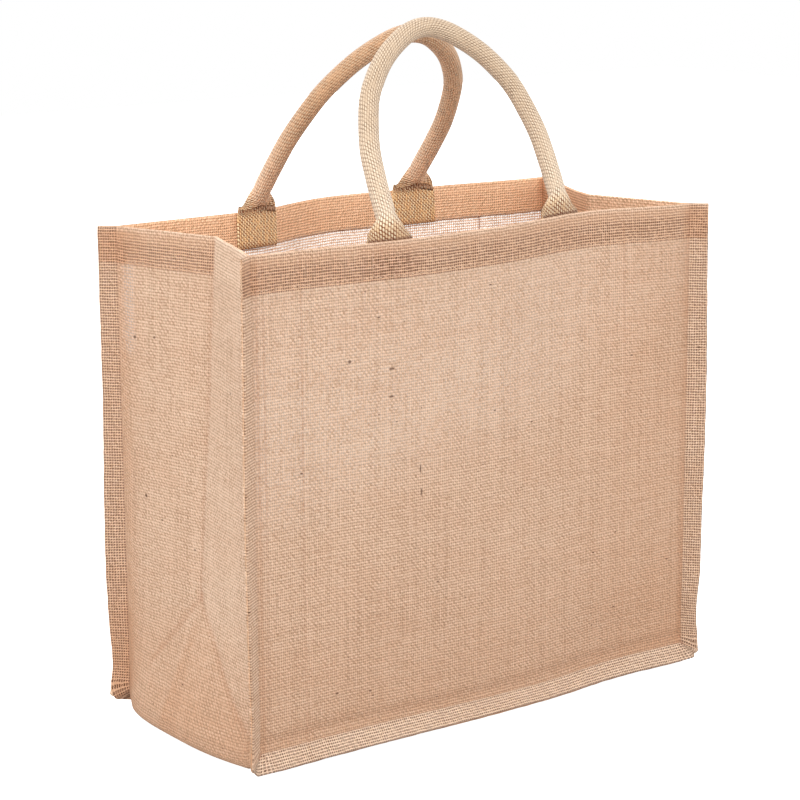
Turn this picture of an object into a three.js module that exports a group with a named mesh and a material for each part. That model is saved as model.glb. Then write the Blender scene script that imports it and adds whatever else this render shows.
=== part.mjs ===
// An open jute tote bag: two flat panels, one gusset strip that runs down a side, under
// the bag and up the other side, and two rolled webbing handles.
// Millimetres, +Z up. The front panel faces -Y, and the origin is on the ground below the middle.
import * as THREE from "three";

// Driving dimensions
const BAG_WIDTH = 400; // between the upright seams of a panel
const BAG_DEPTH = 173; // between the two seams of the gusset
const RIM_HEIGHT = 365; // folded top edge above the ground
const SEAM_HEIGHT = 13.4; // bottom seam above the ground, at the corners
const SEAM_SAG = 3; // how far a bottom seam hangs lower at its lowest
const SAG_MIDDLE = 30; // where along +X it hangs lowest
const ALLOWANCE = 14.5; // width of the seam allowances that stand outwards
const CLOTH = 1.5; // thickness of one layer of jute
const SEWN_GAP = 0.3; // between two layers that are sewn together
const HEM_DEPTH = 26; // top hem, turned to the inside
const HEM_FOLD = 1.2; // what the turned layer adds inside
const FOLD_REACH = 4.5; // how far the round bottom fold of the gusset reaches each way
const FLAT_SHARE = 0.88; // share of the bottom's half depth that lies flat on the ground
const FLANK_POWER = 2; // how suddenly the bottom rises beside its flat part
const GROUND_CLEARANCE = 0.6; // of the seam allowances, beside the flat bottom

// Gusset folds: how far the middle crease is pushed in, at the rim and at its lower end
const LEFT_PUSH = { rim: 29, low: 11 };
const RIGHT_PUSH = { rim: 26, low: 10 };
const CREASE_END = 100; // lower end of the middle crease, above the bottom seam
const CREASE_SOFTNESS = 2;
const END_BULGE = 14; // how far the bottom of a gusset bellies out
const BULGE_SHAPE = { front: 2.5, back: 4 }; // how late it falls off towards each seam
const BULGE_POWER = 1.5; // how quickly the belly dies out with height
const FOLD_SHARPENING = 6; // how late, towards a seam, the round bottom fold turns sharp

// Each upright seam: which way its allowances stand, in degrees from straight out of the
// panel, how far their lower corner kicks out sideways, forth and up, and how far their
// raw edge swells out at a height and draws in above the corner
const sideSeams = {
  frontLeft: { angle: 54, out: 11, forth: 8, up: 0, swell: 1, at: 180, draw: 1 },
  frontRight: { angle: 46, out: 12, forth: 8, up: 0, swell: 2, at: 200, draw: 3.5 },
  backLeft: { angle: 45, out: 15, forth: 8, up: 4, swell: 2.5, at: 110, draw: 1.5 },
  backRight: { angle: 45, out: 12, forth: 8, up: 1, swell: 1, at: 150, draw: 2 },
};
const SWELL_REACH = 130;
const DRAW_HEIGHT = 22;
const DRAW_REACH = 45;
const KICK_REACH = 21; // height over which an upright seam turns into its corner
const KICK_SHARE = 0.5; // how much of the kick is reached just above the corner

// Handles
const WEBBING_WIDTH = 38;
const WEBBING = 1.7; // thickness
const TUBE_RADIUS = 7.2; // outside of the rolled webbing
const TUBE_WRAP = 154; // degrees that the outer side reaches each way round the tube
const SEAM_LEAN = 0.2; // room for the slight slant of the hem where a rim bows
const TAB_DEPTH = 28; // flat end, sewn inside the hem
const ROLL_LENGTH = 22; // from flat to rolled
const ROLL_START = 5; // how far below the rim the edges begin to curl
const LEAN_REACH = 16; // height over which a handle bends into its lean
const SWAY_POWER = 0.8; // how evenly a handle leans sideways from its foot up
const TUBE_STEPS = 28; // sections along the rolled part
const ROLL_STEPS = 6; // sections along each stretch from flat to rolled

// One row for each height on a seam, above the bottom seam
const HEM_TOP = RIM_HEIGHT - SEAM_HEIGHT;
const CORNER_STEP = 3.5;
const seamRows = [
  HEM_TOP,
  HEM_TOP - HEM_DEPTH / 2,
  HEM_TOP - HEM_DEPTH,
  HEM_TOP - HEM_DEPTH - 1,
  290,
  250,
  210,
  170,
  135,
  CREASE_END,
  0.8 * CREASE_END,
  0.58 * CREASE_END,
  0.36 * CREASE_END,
  0.18 * CREASE_END,
  2 * CORNER_STEP,
  CORNER_STEP,
];
const CORNER_REACH = 2 * CORNER_STEP;
const HEM_ROWS = 3;

// Places of the columns across a panel, and across the gusset as a share of its half width
const PANEL_SPANS = 14;
const halfWidth = BAG_WIDTH / 2;
const halfDepth = BAG_DEPTH / 2;
const panelColumns = [];
for (let k = 0; k <= PANEL_SPANS; k++)
  panelColumns.push((2 * k / PANEL_SPANS - 1) * (halfWidth - CORNER_REACH));
panelColumns.unshift(CORNER_STEP - halfWidth);
panelColumns.push(halfWidth - CORNER_STEP);
const gussetColumns = [-0.95, -0.88, -0.72, -0.47, -0.22, 0, 0.22, 0.47, 0.72, 0.88, 0.95];

// Outline of a handle's arch from foot to top, as shares of its half span and its rise
const archRows = [
  { out: 1, rise: 0.15 },
  { out: 0.99, rise: 0.3 },
  { out: 0.965, rise: 0.43 },
  { out: 0.9, rise: 0.56 },
  { out: 0.82, rise: 0.67 },
  { out: 0.71, rise: 0.76 },
  { out: 0.56, rise: 0.85 },
  { out: 0.38, rise: 0.925 },
  { out: 0.19, rise: 0.98 },
];
// step and sway: how far a handle stands aside just above the rim, and more at its top
const handles = [
  { name: "handle_front", side: -1, middle: -3.5, halfSpan: 83, rise: 138, lean: 25.5, step: 0, sway: -1 },
  { name: "handle_back", side: 1, middle: -1, halfSpan: 78.5, rise: 131, lean: 35, step: -2, sway: 12.3 },
];

// Slow bows of the rims out of their planes: how far +Y, where, half their length, and the
// lift that goes with them. The front foot has one of its own.
const rimBows = {
  [-1]: [
    { push: -7, middle: -65, reach: 115, lift: 0 },
    { push: 10, middle: 105, reach: 95, lift: 1.2 },
  ],
  [1]: [
    { push: 16, middle: -10, reach: 85, lift: 0 },
    { push: 17, middle: 65, reach: 130, lift: 0 },
    { push: 0, middle: 200, reach: 320, lift: 2.6 },
  ],
};
const BOW_POWER = 1.3; // how quickly a bow dies out below the rim
const footBow = { push: 4, middle: 125, reach: 74, height: 110 };
const HANDLE_BOW_LOSS = 0.5; // share of the bow that a handle's top doesn't follow
// The gusset follows the bows of a panel from the first share of its half depth to the second
const BOW_ONSET = 0.2;
const BOW_FULL = 0.8;

const radians = THREE.MathUtils.degToRad;
const { lerp, clamp, smoothstep } = THREE.MathUtils;

const materials = {
  jute: new THREE.MeshStandardMaterial({ color: 0xdab796, roughness: 0.95, metalness: 0 }),
  juteSide: new THREE.MeshStandardMaterial({ color: 0xd9b494, roughness: 0.95, metalness: 0 }),
  webbing: new THREE.MeshStandardMaterial({ color: 0xe4cba6, roughness: 0.9, metalness: 0 }),
};

// A smooth bump, 1 at its middle and 0 at its reach on both sides
function bump(x, middle, reach) {
  const t = Math.min(Math.abs(x - middle) / reach, 1);
  return Math.cos((Math.PI / 2) * t) ** 2;
}

// The lower of two values, rounded where they meet
function softMin(a, b) {
  const near = Math.max(CREASE_SOFTNESS - Math.abs(a - b), 0);
  return Math.min(a, b) - (near * near) / (4 * CREASE_SOFTNESS);
}

// Bows of a panel, for a point at x and z that follows the panel on the given side
function panelShift(side, x, z) {
  const t = clamp((z - SEAM_HEIGHT) / HEM_TOP, 0, 1) ** BOW_POWER;
  const shift = new THREE.Vector3();
  for (const bow of rimBows[side]) {
    const share = t * bump(x, bow.middle, bow.reach);
    shift.y += bow.push * share;
    shift.z += bow.lift * share;
  }
  if (side < 0) {
    const low = 1 - smoothstep(z, 0, footBow.height);
    shift.y += footBow.push * low * bump(x, footBow.middle, footBow.reach);
  }
  return shift;
}

// Moves a point of the cloth with the panel that it is near
function bowed(point) {
  const side = point.y < 0 ? -1 : 1;
  const near = smoothstep(Math.abs(point.y), BOW_ONSET * halfDepth, BOW_FULL * halfDepth);
  return point.clone().addScaledVector(panelShift(side, point.x, point.z), near);
}

function seamHeightAt(x) {
  return SEAM_HEIGHT - SEAM_SAG * bump(x, SAG_MIDDLE, halfWidth - SAG_MIDDLE);
}

// Offset direction at each point of a grid. Its length is such that the faces beside a
// crease stay parallel: the least vector whose share along each face's normal is 1.
function creaseNormals(grid) {
  const rows = grid.length;
  const columns = grid[0].length;
  const faceNormal = (i, j) => {
    if (i < 0 || j < 0 || i >= rows - 1 || j >= columns - 1) return null;
    const a = grid[i + 1][j + 1].clone().sub(grid[i][j]);
    const b = grid[i][j + 1].clone().sub(grid[i + 1][j]);
    return a.cross(b).normalize();
  };
  const SLACK = 0.004; // keeps the solution finite on a flat stretch
  const LONGEST = 1.6; // a sharper crease is cut off
  return grid.map((row, i) =>
    row.map((_, j) => {
      const sum = new THREE.Vector3();
      const m = [SLACK, 0, 0, 0, SLACK, 0, 0, 0, SLACK];
      for (const [di, dj] of [[-1, -1], [-1, 0], [0, -1], [0, 0]]) {
        const n = faceNormal(i + di, j + dj);
        if (!n) continue;
        sum.add(n);
        const v = n.toArray();
        for (let k = 0; k < 9; k++) m[k] += v[Math.floor(k / 3)] * v[k % 3];
      }
      const matrix = new THREE.Matrix3().set(...m).invert();
      return sum.applyMatrix3(matrix).clampLength(0, LONGEST);
    }),
  );
}

// A closed sheet around a grid of points. outer and inner give the distance of each face
// from the grid, along the offset directions. uphill says which diagonal splits a cell.
function sheetGeometry(grid, directions, outer, inner, move, uphill) {
  const rows = grid.length;
  const columns = grid[0].length;
  const positions = [];
  for (const [reach, sign] of [[outer, 1], [inner, -1]])
    for (let i = 0; i < rows; i++)
      for (let j = 0; j < columns; j++) {
        const p = grid[i][j].clone().addScaledVector(directions[i][j], sign * reach(i, j));
        positions.push(...move(p).toArray());
      }
  const foot = rows - 1;
  const side = columns - 1;
  const at = (layer, i, j) => (layer * rows + i) * columns + j;
  const faces = [];
  const quad = (a, b, c, d, diagonalAC) =>
    diagonalAC ? faces.push(a, b, c, a, c, d) : faces.push(a, b, d, b, c, d);
  for (let i = 0; i < foot; i++)
    for (let j = 0; j < side; j++) {
      const along = uphill(i, j);
      quad(at(0, i, j), at(0, i + 1, j), at(0, i + 1, j + 1), at(0, i, j + 1), along);
      quad(at(1, i, j), at(1, i, j + 1), at(1, i + 1, j + 1), at(1, i + 1, j), along);
    }
  for (let j = 0; j < side; j++) {
    quad(at(0, 0, j), at(0, 0, j + 1), at(1, 0, j + 1), at(1, 0, j), true);
    quad(at(0, foot, j + 1), at(0, foot, j), at(1, foot, j), at(1, foot, j + 1), true);
  }
  for (let i = 0; i < foot; i++) {
    quad(at(0, i + 1, 0), at(0, i, 0), at(1, i, 0), at(1, i + 1, 0), true);
    quad(at(0, i, side), at(0, i + 1, side), at(1, i + 1, side), at(1, i, side), true);
  }
  return facingOut(positions, faces);
}

// Geometry of a closed surface, turned so that its faces point out
function facingOut(positions, faces) {
  let volume = 0;
  const corner = (k) => new THREE.Vector3().fromArray(positions, 3 * k);
  for (let k = 0; k < faces.length; k += 3)
    volume += corner(faces[k]).dot(corner(faces[k + 1]).cross(corner(faces[k + 2])));
  if (volume < 0)
    for (let k = 0; k < faces.length; k += 3) [faces[k + 1], faces[k + 2]] = [faces[k + 2], faces[k + 1]];
  const geometry = new THREE.BufferGeometry();
  geometry.setAttribute("position", new THREE.Float32BufferAttribute(positions, 3));
  geometry.setIndex(faces);
  geometry.computeVertexNormals();
  return geometry;
}

// The surface where panel and gusset lie together, from the left rim down, along the
// bottom and up to the right rim: a root on the seam and a tip at the raw edge.
function seamSheet(side) {
  const y = side * halfDepth;
  const names = side < 0 ? ["frontLeft", "frontRight"] : ["backLeft", "backRight"];
  const drop = SEAM_HEIGHT - GROUND_CLEARANCE - (CLOTH + SEWN_GAP / 2) / 2;
  const seamAt = (end) => sideSeams[names[end < 0 ? 0 : 1]];
  const upright = (end) => {
    const seam = seamAt(end);
    const angle = radians(seam.angle);
    return seamRows.map((above) => {
      const root = new THREE.Vector3(end * halfWidth, y, SEAM_HEIGHT + above);
      const tip = root.clone();
      const flare = KICK_SHARE * bump(above, 0, KICK_REACH);
      const swell = seam.swell * bump(above, seam.at, SWELL_REACH);
      const draw = seam.draw * bump(above, DRAW_HEIGHT, DRAW_REACH);
      tip.x += end * lerp(ALLOWANCE * Math.sin(angle) + swell - draw, seam.out, flare);
      tip.y += side * lerp(ALLOWANCE * Math.cos(angle), seam.forth, flare);
      return { root, tip };
    });
  };
  const corner = (end) => {
    const seam = seamAt(end);
    const root = new THREE.Vector3(end * halfWidth, y, SEAM_HEIGHT);
    const kick = new THREE.Vector3(end * seam.out, side * seam.forth, seam.up - drop);
    return { root, tip: root.clone().add(kick) };
  };
  const bottom = panelColumns.map((x) => {
    const root = new THREE.Vector3(x, y, seamHeightAt(x));
    const fall = root.z - (SEAM_HEIGHT - drop);
    const forth = Math.sqrt(ALLOWANCE ** 2 - fall ** 2);
    return { root, tip: new THREE.Vector3(x, y + side * forth, root.z - fall) };
  });
  return [...upright(-1), corner(-1), ...bottom, corner(1), ...upright(1).reverse()];
}

// Root and tip of one layer at the seam. layer is 1 for the panel and -1 for the gusset.
function sewnLayer(side, layer) {
  const sheet = seamSheet(side);
  const grid = sheet.map((row) => [row.tip, row.root]);
  const directions = creaseNormals(grid);
  const apart = (side * -layer * (CLOTH + SEWN_GAP)) / 2;
  return grid.map((row, i) => row.map((p, j) => p.clone().addScaledVector(directions[i][j], apart)));
}

// A panel: rows from the rim down, columns from left to right, with its allowances
function panelMesh(name, side) {
  const leaf = sewnLayer(side, 1);
  const last = leaf.length - 1;
  const corner = seamRows.length;
  const grid = seamRows.map((above, i) => {
    const row = [leaf[i][0], leaf[i][1]];
    for (const x of panelColumns) {
      const z = lerp(seamHeightAt(x), RIM_HEIGHT, above / HEM_TOP);
      row.push(new THREE.Vector3(x, leaf[i][1].y, z));
    }
    row.push(leaf[last - i][1], leaf[last - i][0]);
    return row;
  });
  const half = (a, b) => a.clone().lerp(b, 0.5);
  const seam = leaf.slice(corner, last - corner + 1);
  const roots = seam.map((row) => row[1]);
  const tips = seam.map((row) => row[0]);
  const ends = seam.length - 1;
  grid.push([half(leaf[corner - 1][0], tips[0]), ...roots, half(leaf[last - corner + 1][0], tips[ends])]);
  const bottomRow = [tips[0], half(tips[0], tips[1]), ...tips.slice(1, ends)];
  bottomRow.push(half(tips[ends], tips[ends - 1]), tips[ends]);
  grid.push(bottomRow);
  const columns = grid[0].length;
  const outer = () => CLOTH / 2;
  const inner = (i, j) => CLOTH / 2 + (i < HEM_ROWS && j > 1 && j < columns - 2 ? HEM_FOLD : 0);
  const uphill = (i, j) => {
    if (i === corner && (j === 0 || j === columns - 2)) return j !== 0;
    return j < columns / 2;
  };
  return clothMesh(name, grid, outer, inner, uphill, new THREE.Vector3(0, side, 0), materials.jute);
}

// How far the gusset's wall stands in from its seams, at a share v of its half width
function gussetInset(v, z, push) {
  const above = Math.max(z - SEAM_HEIGHT, 0);
  const rise = clamp((above - CREASE_END) / (HEM_TOP - CREASE_END), 0, 1);
  const depth = lerp(push.low, push.rim, rise);
  const low = clamp(above / CREASE_END, 0, 1);
  const across = 1 - Math.abs(v) ** (v < 0 ? BULGE_SHAPE.front : BULGE_SHAPE.back);
  const belly = END_BULGE * (1 - low) ** BULGE_POWER * across;
  return softMin(depth * (1 - Math.abs(v)), (push.low * above) / CREASE_END) - belly;
}

// Height of the gusset's cloth under the bag: flat on the ground, rising to the seams
function bottomHeight(v, seamZ) {
  const t = clamp((Math.abs(v) - FLAT_SHARE) / (1 - FLAT_SHARE), 0, 1);
  return lerp(CLOTH / 2, seamZ, t ** FLANK_POWER);
}

// The round fold between side and bottom, and the sharp one at the seam, as steps
const foldSteps = [0, 1, 2, 3, 4].map((k) => {
  const angle = (k * Math.PI) / 8;
  return {
    round: [1 - Math.cos(angle), 1 - Math.sin(angle)],
    sharp: [Math.max(k - 2, 0) / 2, Math.max(2 - k, 0) / 2],
  };
});

// The gusset: rows along the strip, columns across it, with its allowances
function gussetMesh(name) {
  const front = sewnLayer(-1, -1);
  const back = sewnLayer(1, -1);
  const last = front.length - 1;
  const corner = seamRows.length;
  const foldRow = corner - 2;
  const wallPoint = (v, row, end, push) => {
    const z0 = bottomHeight(v, SEAM_HEIGHT);
    const wallX = (z) => halfWidth - gussetInset(v, z, push);
    if (row >= foldRow) {
      const step = foldSteps[row - foldRow];
      const roundness = 1 - Math.abs(v) ** FOLD_SHARPENING;
      const along = lerp(step.sharp[0], step.round[0], roundness) * FOLD_REACH;
      const up = lerp(step.sharp[1], step.round[1], roundness) * FOLD_REACH;
      return new THREE.Vector3(end * (wallX(0) - along), v * halfDepth, z0 + up);
    }
    const share = (seamRows[row] - FOLD_REACH) / (HEM_TOP - FOLD_REACH);
    const z = lerp(z0 + FOLD_REACH, RIM_HEIGHT, share);
    return new THREE.Vector3(end * wallX(z), v * halfDepth, z);
  };
  const grid = front.map((leaf, i) => {
    const row = [leaf[0], leaf[1]];
    for (const v of gussetColumns) {
      const left = wallPoint(v, Math.min(i, corner + 2), -1, LEFT_PUSH);
      const right = wallPoint(v, Math.min(last - i, corner + 2), 1, RIGHT_PUSH);
      if (i <= corner + 2) row.push(left);
      else if (last - i <= corner + 2) row.push(right);
      else {
        const share = (panelColumns[i - corner - 1] / (halfWidth - CORNER_REACH) + 1) / 2;
        const x = lerp(left.x, right.x, share);
        row.push(new THREE.Vector3(x, left.y, bottomHeight(v, seamHeightAt(x))));
      }
    }
    row.push(back[i][1], back[i][0]);
    return row;
  });
  const columns = grid[0].length;
  const outer = () => CLOTH / 2;
  const inHem = (i, j) => Math.min(i, last - i) < HEM_ROWS && j > 1 && j < columns - 2;
  const inner = (i, j) => CLOTH / 2 + (inHem(i, j) ? HEM_FOLD : 0);
  // The creases from the lower end of the middle crease run to the bottom corners
  const uphill = (i, j) => {
    const leftEnd = i < last / 2;
    const frontHalf = j < (columns - 1) / 2;
    const leafCell = j === 0 || j === columns - 2;
    const fromCorner = leafCell && (i === corner || i === last - corner - 1);
    return (leftEnd === frontHalf) !== (leafCell ? fromCorner : true);
  };
  return clothMesh(name, grid, outer, inner, uphill, new THREE.Vector3(0, 0, -1), materials.juteSide);
}

// Makes the mesh of a cloth piece. out points away from the bag at the middle of the grid.
function clothMesh(name, grid, outer, inner, uphill, out, material) {
  const directions = creaseNormals(grid);
  const middle = directions[Math.floor(grid.length / 2)][Math.floor(grid[0].length / 2)];
  if (middle.dot(out) < 0) directions.flat().forEach((d) => d.negate());
  const mesh = new THREE.Mesh(sheetGeometry(grid, directions, outer, inner, bowed, uphill), material);
  mesh.name = name;
  return mesh;
}

// Line that a handle follows: up from one flat end, over the arch and down to the other
class HandleLine extends THREE.Curve {
  constructor(handle) {
    super();
    this.handle = handle;
    this.tabY = handle.side * (halfDepth - SEAM_LEAN - CLOTH / 2 - HEM_FOLD - SEWN_GAP - WEBBING / 2);
    const leg = [0, 0.33, 0.66, 1].map((t) => new THREE.Vector2(1, lerp(-TAB_DEPTH, 0, t)));
    for (const { out, rise } of archRows) leg.push(new THREE.Vector2(out, rise * handle.rise));
    const across = (end) => (p) => new THREE.Vector2(end * p.x * handle.halfSpan, p.y);
    const top = new THREE.Vector2(0, handle.rise);
    this.outline = new THREE.SplineCurve([...leg.map(across(-1)), top, ...leg.map(across(1)).reverse()]);
  }
  getPoint(t, target = new THREE.Vector3()) {
    const { side, middle, lean, step, sway, rise } = this.handle;
    const flat = this.outline.getPoint(t);
    const up = Math.max(flat.y, 0);
    const leaning = up < LEAN_REACH ? (up * up) / (2 * LEAN_REACH) : up - LEAN_REACH / 2;
    const y = this.tabY - side * Math.tan(radians(lean)) * leaning;
    const aside = step * smoothstep(up, 0, LEAN_REACH) + sway * (up / rise) ** SWAY_POWER;
    return target.set(flat.x + middle + aside, y, RIM_HEIGHT + flat.y);
  }
}

// Places of a handle's sections along its line, closer together where the webbing rolls up
function sectionPlaces(length) {
  const rolled = TAB_DEPTH + ROLL_LENGTH;
  const end = [0, TAB_DEPTH / 2, TAB_DEPTH - ROLL_START];
  for (let d = TAB_DEPTH; d < rolled; d += ROLL_LENGTH / ROLL_STEPS) end.push(d);
  const places = [...end];
  for (let k = 0; k <= TUBE_STEPS; k++) places.push(lerp(rolled, length - rolled, k / TUBE_STEPS));
  return [...places, ...end.map((d) => length - d).reverse()];
}

// A handle: webbing that is flat at its ends and rolled up into a tube between them
function handleMesh(handle) {
  const line = new HandleLine(handle);
  line.arcLengthDivisions = 800;
  const length = line.getLength();
  const HALF_POINTS = 5; // of a section, each way round from its crest
  const FILL_ONSET = 0.6; // share of the roll from which the hollow closes
  const LEAST_WRAP = 1e-3; // radians, stands for flat webbing
  const outFlat = new THREE.Vector3(0, handle.side, 0);
  const leanAngle = radians(handle.lean);
  const outLeaning = new THREE.Vector3(0, handle.side * Math.cos(leanAngle), Math.sin(leanAngle));
  const rings = sectionPlaces(length).map((distance) => {
    const u = clamp(distance / length, 0, 1);
    const centre = line.getPointAt(u);
    const along = line.getTangentAt(u);
    const fromEnd = Math.min(distance, length - distance) - TAB_DEPTH;
    const roll = smoothstep(fromEnd, -ROLL_START, ROLL_LENGTH - ROLL_START);
    const shift = smoothstep(fromEnd, 0, ROLL_LENGTH) * TUBE_RADIUS;
    const fill = smoothstep(roll, FILL_ONSET, 1);
    const out = outFlat.clone().lerp(outLeaning, smoothstep(fromEnd, 0, ROLL_LENGTH));
    out.addScaledVector(along, -out.dot(along)).normalize();
    const across = new THREE.Vector3().crossVectors(along, out);
    const wrap = Math.max(radians(TUBE_WRAP) * roll, LEAST_WRAP);
    const flatRadius = WEBBING_WIDTH / 2 / wrap;
    const radius = lerp(flatRadius, TUBE_RADIUS, smoothstep(roll, 0, 1));
    const crest = shift + (1 - shift / TUBE_RADIUS) * (WEBBING / 2);
    const arc = (angle, r) => [r * Math.sin(angle), crest - radius + r * Math.cos(angle)];
    const section = [];
    for (let k = -HALF_POINTS; k <= HALF_POINTS; k++)
      section.push(arc((wrap * k) / HALF_POINTS, radius));
    for (let k = HALF_POINTS; k >= -HALF_POINTS; k--) {
      const inside = arc((wrap * k) / HALF_POINTS, radius - WEBBING);
      const closing = arc(Math.PI - ((Math.PI - wrap) * k) / (HALF_POINTS + 1), radius);
      section.push([lerp(inside[0], closing[0], fill), lerp(inside[1], closing[1], fill)]);
    }
    return section.map(([a, b]) => {
      const p = centre.clone().addScaledVector(across, a).addScaledVector(out, b);
      const loss = HANDLE_BOW_LOSS * clamp((p.z - RIM_HEIGHT) / handle.rise, 0, 1);
      return p.addScaledVector(panelShift(handle.side, p.x, Math.min(p.z, RIM_HEIGHT)), 1 - loss);
    });
  });
  const points = rings[0].length;
  const faces = [];
  for (let i = 0; i < rings.length - 1; i++)
    for (let k = 0; k < points; k++) {
      const [a, b] = [i * points + k, i * points + ((k + 1) % points)];
      faces.push(a, b, b + points, a, b + points, a + points);
    }
  const lastRing = (rings.length - 1) * points;
  for (let k = 0; k < 2 * HALF_POINTS; k++) {
    const [a, b, c, d] = [k, k + 1, points - 2 - k, points - 1 - k];
    faces.push(a, c, b, a, d, c);
    faces.push(lastRing + a, lastRing + b, lastRing + c, lastRing + a, lastRing + c, lastRing + d);
  }
  const positions = rings.flat().flatMap((p) => p.toArray());
  const mesh = new THREE.Mesh(facingOut(positions, faces), materials.webbing);
  mesh.name = handle.name;
  return mesh;
}

const bag = new THREE.Group();
bag.name = "jute_tote_bag";
bag.add(panelMesh("front_panel", -1), panelMesh("back_panel", 1), gussetMesh("gusset"));
for (const handle of handles) bag.add(handleMesh(handle));

export default bag;
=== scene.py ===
"""Dresses the solids of an open jute tote bag: woven panels and gusset, rolled webbing handles, stitching."""

import bpy
import numpy as np
from mathutils import Matrix, Vector


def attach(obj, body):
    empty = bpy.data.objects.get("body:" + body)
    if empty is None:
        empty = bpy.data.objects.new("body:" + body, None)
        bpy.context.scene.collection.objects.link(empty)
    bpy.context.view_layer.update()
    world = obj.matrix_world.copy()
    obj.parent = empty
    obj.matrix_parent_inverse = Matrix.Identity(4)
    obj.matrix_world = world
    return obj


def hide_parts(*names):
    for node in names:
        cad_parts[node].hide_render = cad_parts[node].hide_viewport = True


bl_info = {
    "name": "Jute Tote Bag",
    "version": (1, 0, 0),
    "blender": (4, 5, 0),
    "location": "3D View > Sidebar > Tote Bag",
    "description": "Woven cloth, webbing handles and stitching on the solids of a jute tote bag",
    "category": "Add Mesh",
}

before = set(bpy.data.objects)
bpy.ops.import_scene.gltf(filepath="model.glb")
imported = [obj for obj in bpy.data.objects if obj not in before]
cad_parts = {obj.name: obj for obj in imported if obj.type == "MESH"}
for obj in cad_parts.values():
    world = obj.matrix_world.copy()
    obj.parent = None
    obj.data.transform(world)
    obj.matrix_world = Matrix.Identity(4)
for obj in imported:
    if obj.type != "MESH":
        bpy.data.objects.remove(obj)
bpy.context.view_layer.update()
MM = 0.001  # shapes are worked out in millimetres and put into the meshes in metres

# The bag as it is cut and sewn, in millimetres
BAG_WIDTH = 400.0  # between the upright seams of a panel
BAG_DEPTH = 173.0  # between the two seams of the gusset
RIM_HEIGHT = 365.0
SEAM_HEIGHT = 13.4  # bottom seam above the ground, at the corners
SEAM_SAG = 3.0  # how much lower the bottom seam hangs at SAG_MIDDLE
SAG_MIDDLE = 30.0
ALLOWANCE = 14.5  # width of the cloth past a seam
CLOTH = 1.5  # thickness
SEWN_GAP = 0.3  # between two cloths that are sewn together
HEM_DEPTH = 26.0
HEM_FOLD = 1.2  # how much thicker than the cloth a hem is
HEM_GAP = 0.2  # between the two layers of a hem
FOLD_REACH = 4.5  # of the fold between the gusset's walls and its bottom, in its middle
FLAT_SHARE = 0.88  # share of the bottom's width that lies on the ground
FLANK_POWER = 2.0  # with which the rest rises to the seams
GROUND_CLEARANCE = 0.6  # of the raw edges under the bottom seams
PUSH = {-1: {"rim": 29.0, "low": 11.0}, 1: {"rim": 26.0, "low": 10.0}}  # of the gusset's crease, by end
CREASE_END = 100.0  # height above the seam at which the crease has its low push, and from which it runs out
CREASE_SOFTNESS = 2.0
END_BULGE = 14.0  # how far the foot of a gusset wall bulges out
BULGE_SHAPE = {"front": 2.5, "back": 4.0}  # the powers by which the bulge flattens towards the seams
BULGE_POWER = 1.5  # by which it dies out upwards
FOLD_SHARPENING = 6.0  # the power by which the fold at the foot gets sharp towards the seams
HALF_WIDTH = BAG_WIDTH / 2
HALF_DEPTH = BAG_DEPTH / 2
HEM_TOP = RIM_HEIGHT - SEAM_HEIGHT
GUSSET_LENGTH = 2 * HEM_TOP + BAG_WIDTH  # from rim to rim
CORNER_REACH = 7.0  # of the fold at the seams, and of the turn of the allowances round a corner
LEAF_DROP = SEAM_HEIGHT - GROUND_CLEARANCE - (CLOTH + SEWN_GAP / 2) / 2

# A turned hem, along the cloth from the bottom seam: up the outside, round the rim and down the inside
HEM_LAYER = (CLOTH + HEM_FOLD - HEM_GAP) / 2
HEM_RADIUS = (HEM_LAYER + HEM_GAP) / 2
HEM_START = HEM_TOP - HEM_RADIUS - HEM_LAYER / 2
HEM_BEND = np.pi * HEM_RADIUS
HEM_END = HEM_START + HEM_BEND + HEM_DEPTH
HEM_LOW = HEM_START - HEM_DEPTH  # height of the hem's lower edge above the bottom seam

# Upright seams by side of the bag (-1 front) and end (-1 left): see side_leaf
SIDE_SEAMS = {
    (-1, -1): {"angle": 54, "out": 11, "forth": 8, "up": 0, "swell": 1, "at": 180, "draw": 1},
    (-1, 1): {"angle": 46, "out": 12, "forth": 8, "up": 0, "swell": 2, "at": 200, "draw": 3.5},
    (1, -1): {"angle": 45, "out": 15, "forth": 8, "up": 4, "swell": 2.5, "at": 110, "draw": 1.5},
    (1, 1): {"angle": 45, "out": 12, "forth": 8, "up": 1, "swell": 1, "at": 150, "draw": 2},
}
SWELL_REACH = 130.0  # up and down from the middle of a swell
DRAW_HEIGHT = 22.0  # above the bottom seam, where an allowance is drawn in
DRAW_REACH = 45.0
KICK_REACH = 21.0  # height of the flare of an allowance at its lower corner
KICK_SHARE = 0.5

# Slow bows of the rims: push along +Y, middle along +X, half length, lift
RIM_BOWS = {
    -1: [(-7, -65, 115, 0), (10, 105, 95, 1.2)],
    1: [(16, -10, 85, 0), (17, 65, 130, 0), (0, 200, 320, 2.6)],
}
BOW_POWER = 1.3  # by which they grow with the height
FOOT_BOW = {"push": 4, "middle": 125, "reach": 74, "height": 110}
HANDLE_BOW_LOSS = 0.5  # share of the bow that a handle has lost at its top
BOW_ONSET = 0.2  # shares of the half depth, from which a gusset moves with a panel and where it does so fully
BOW_FULL = 0.8

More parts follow.
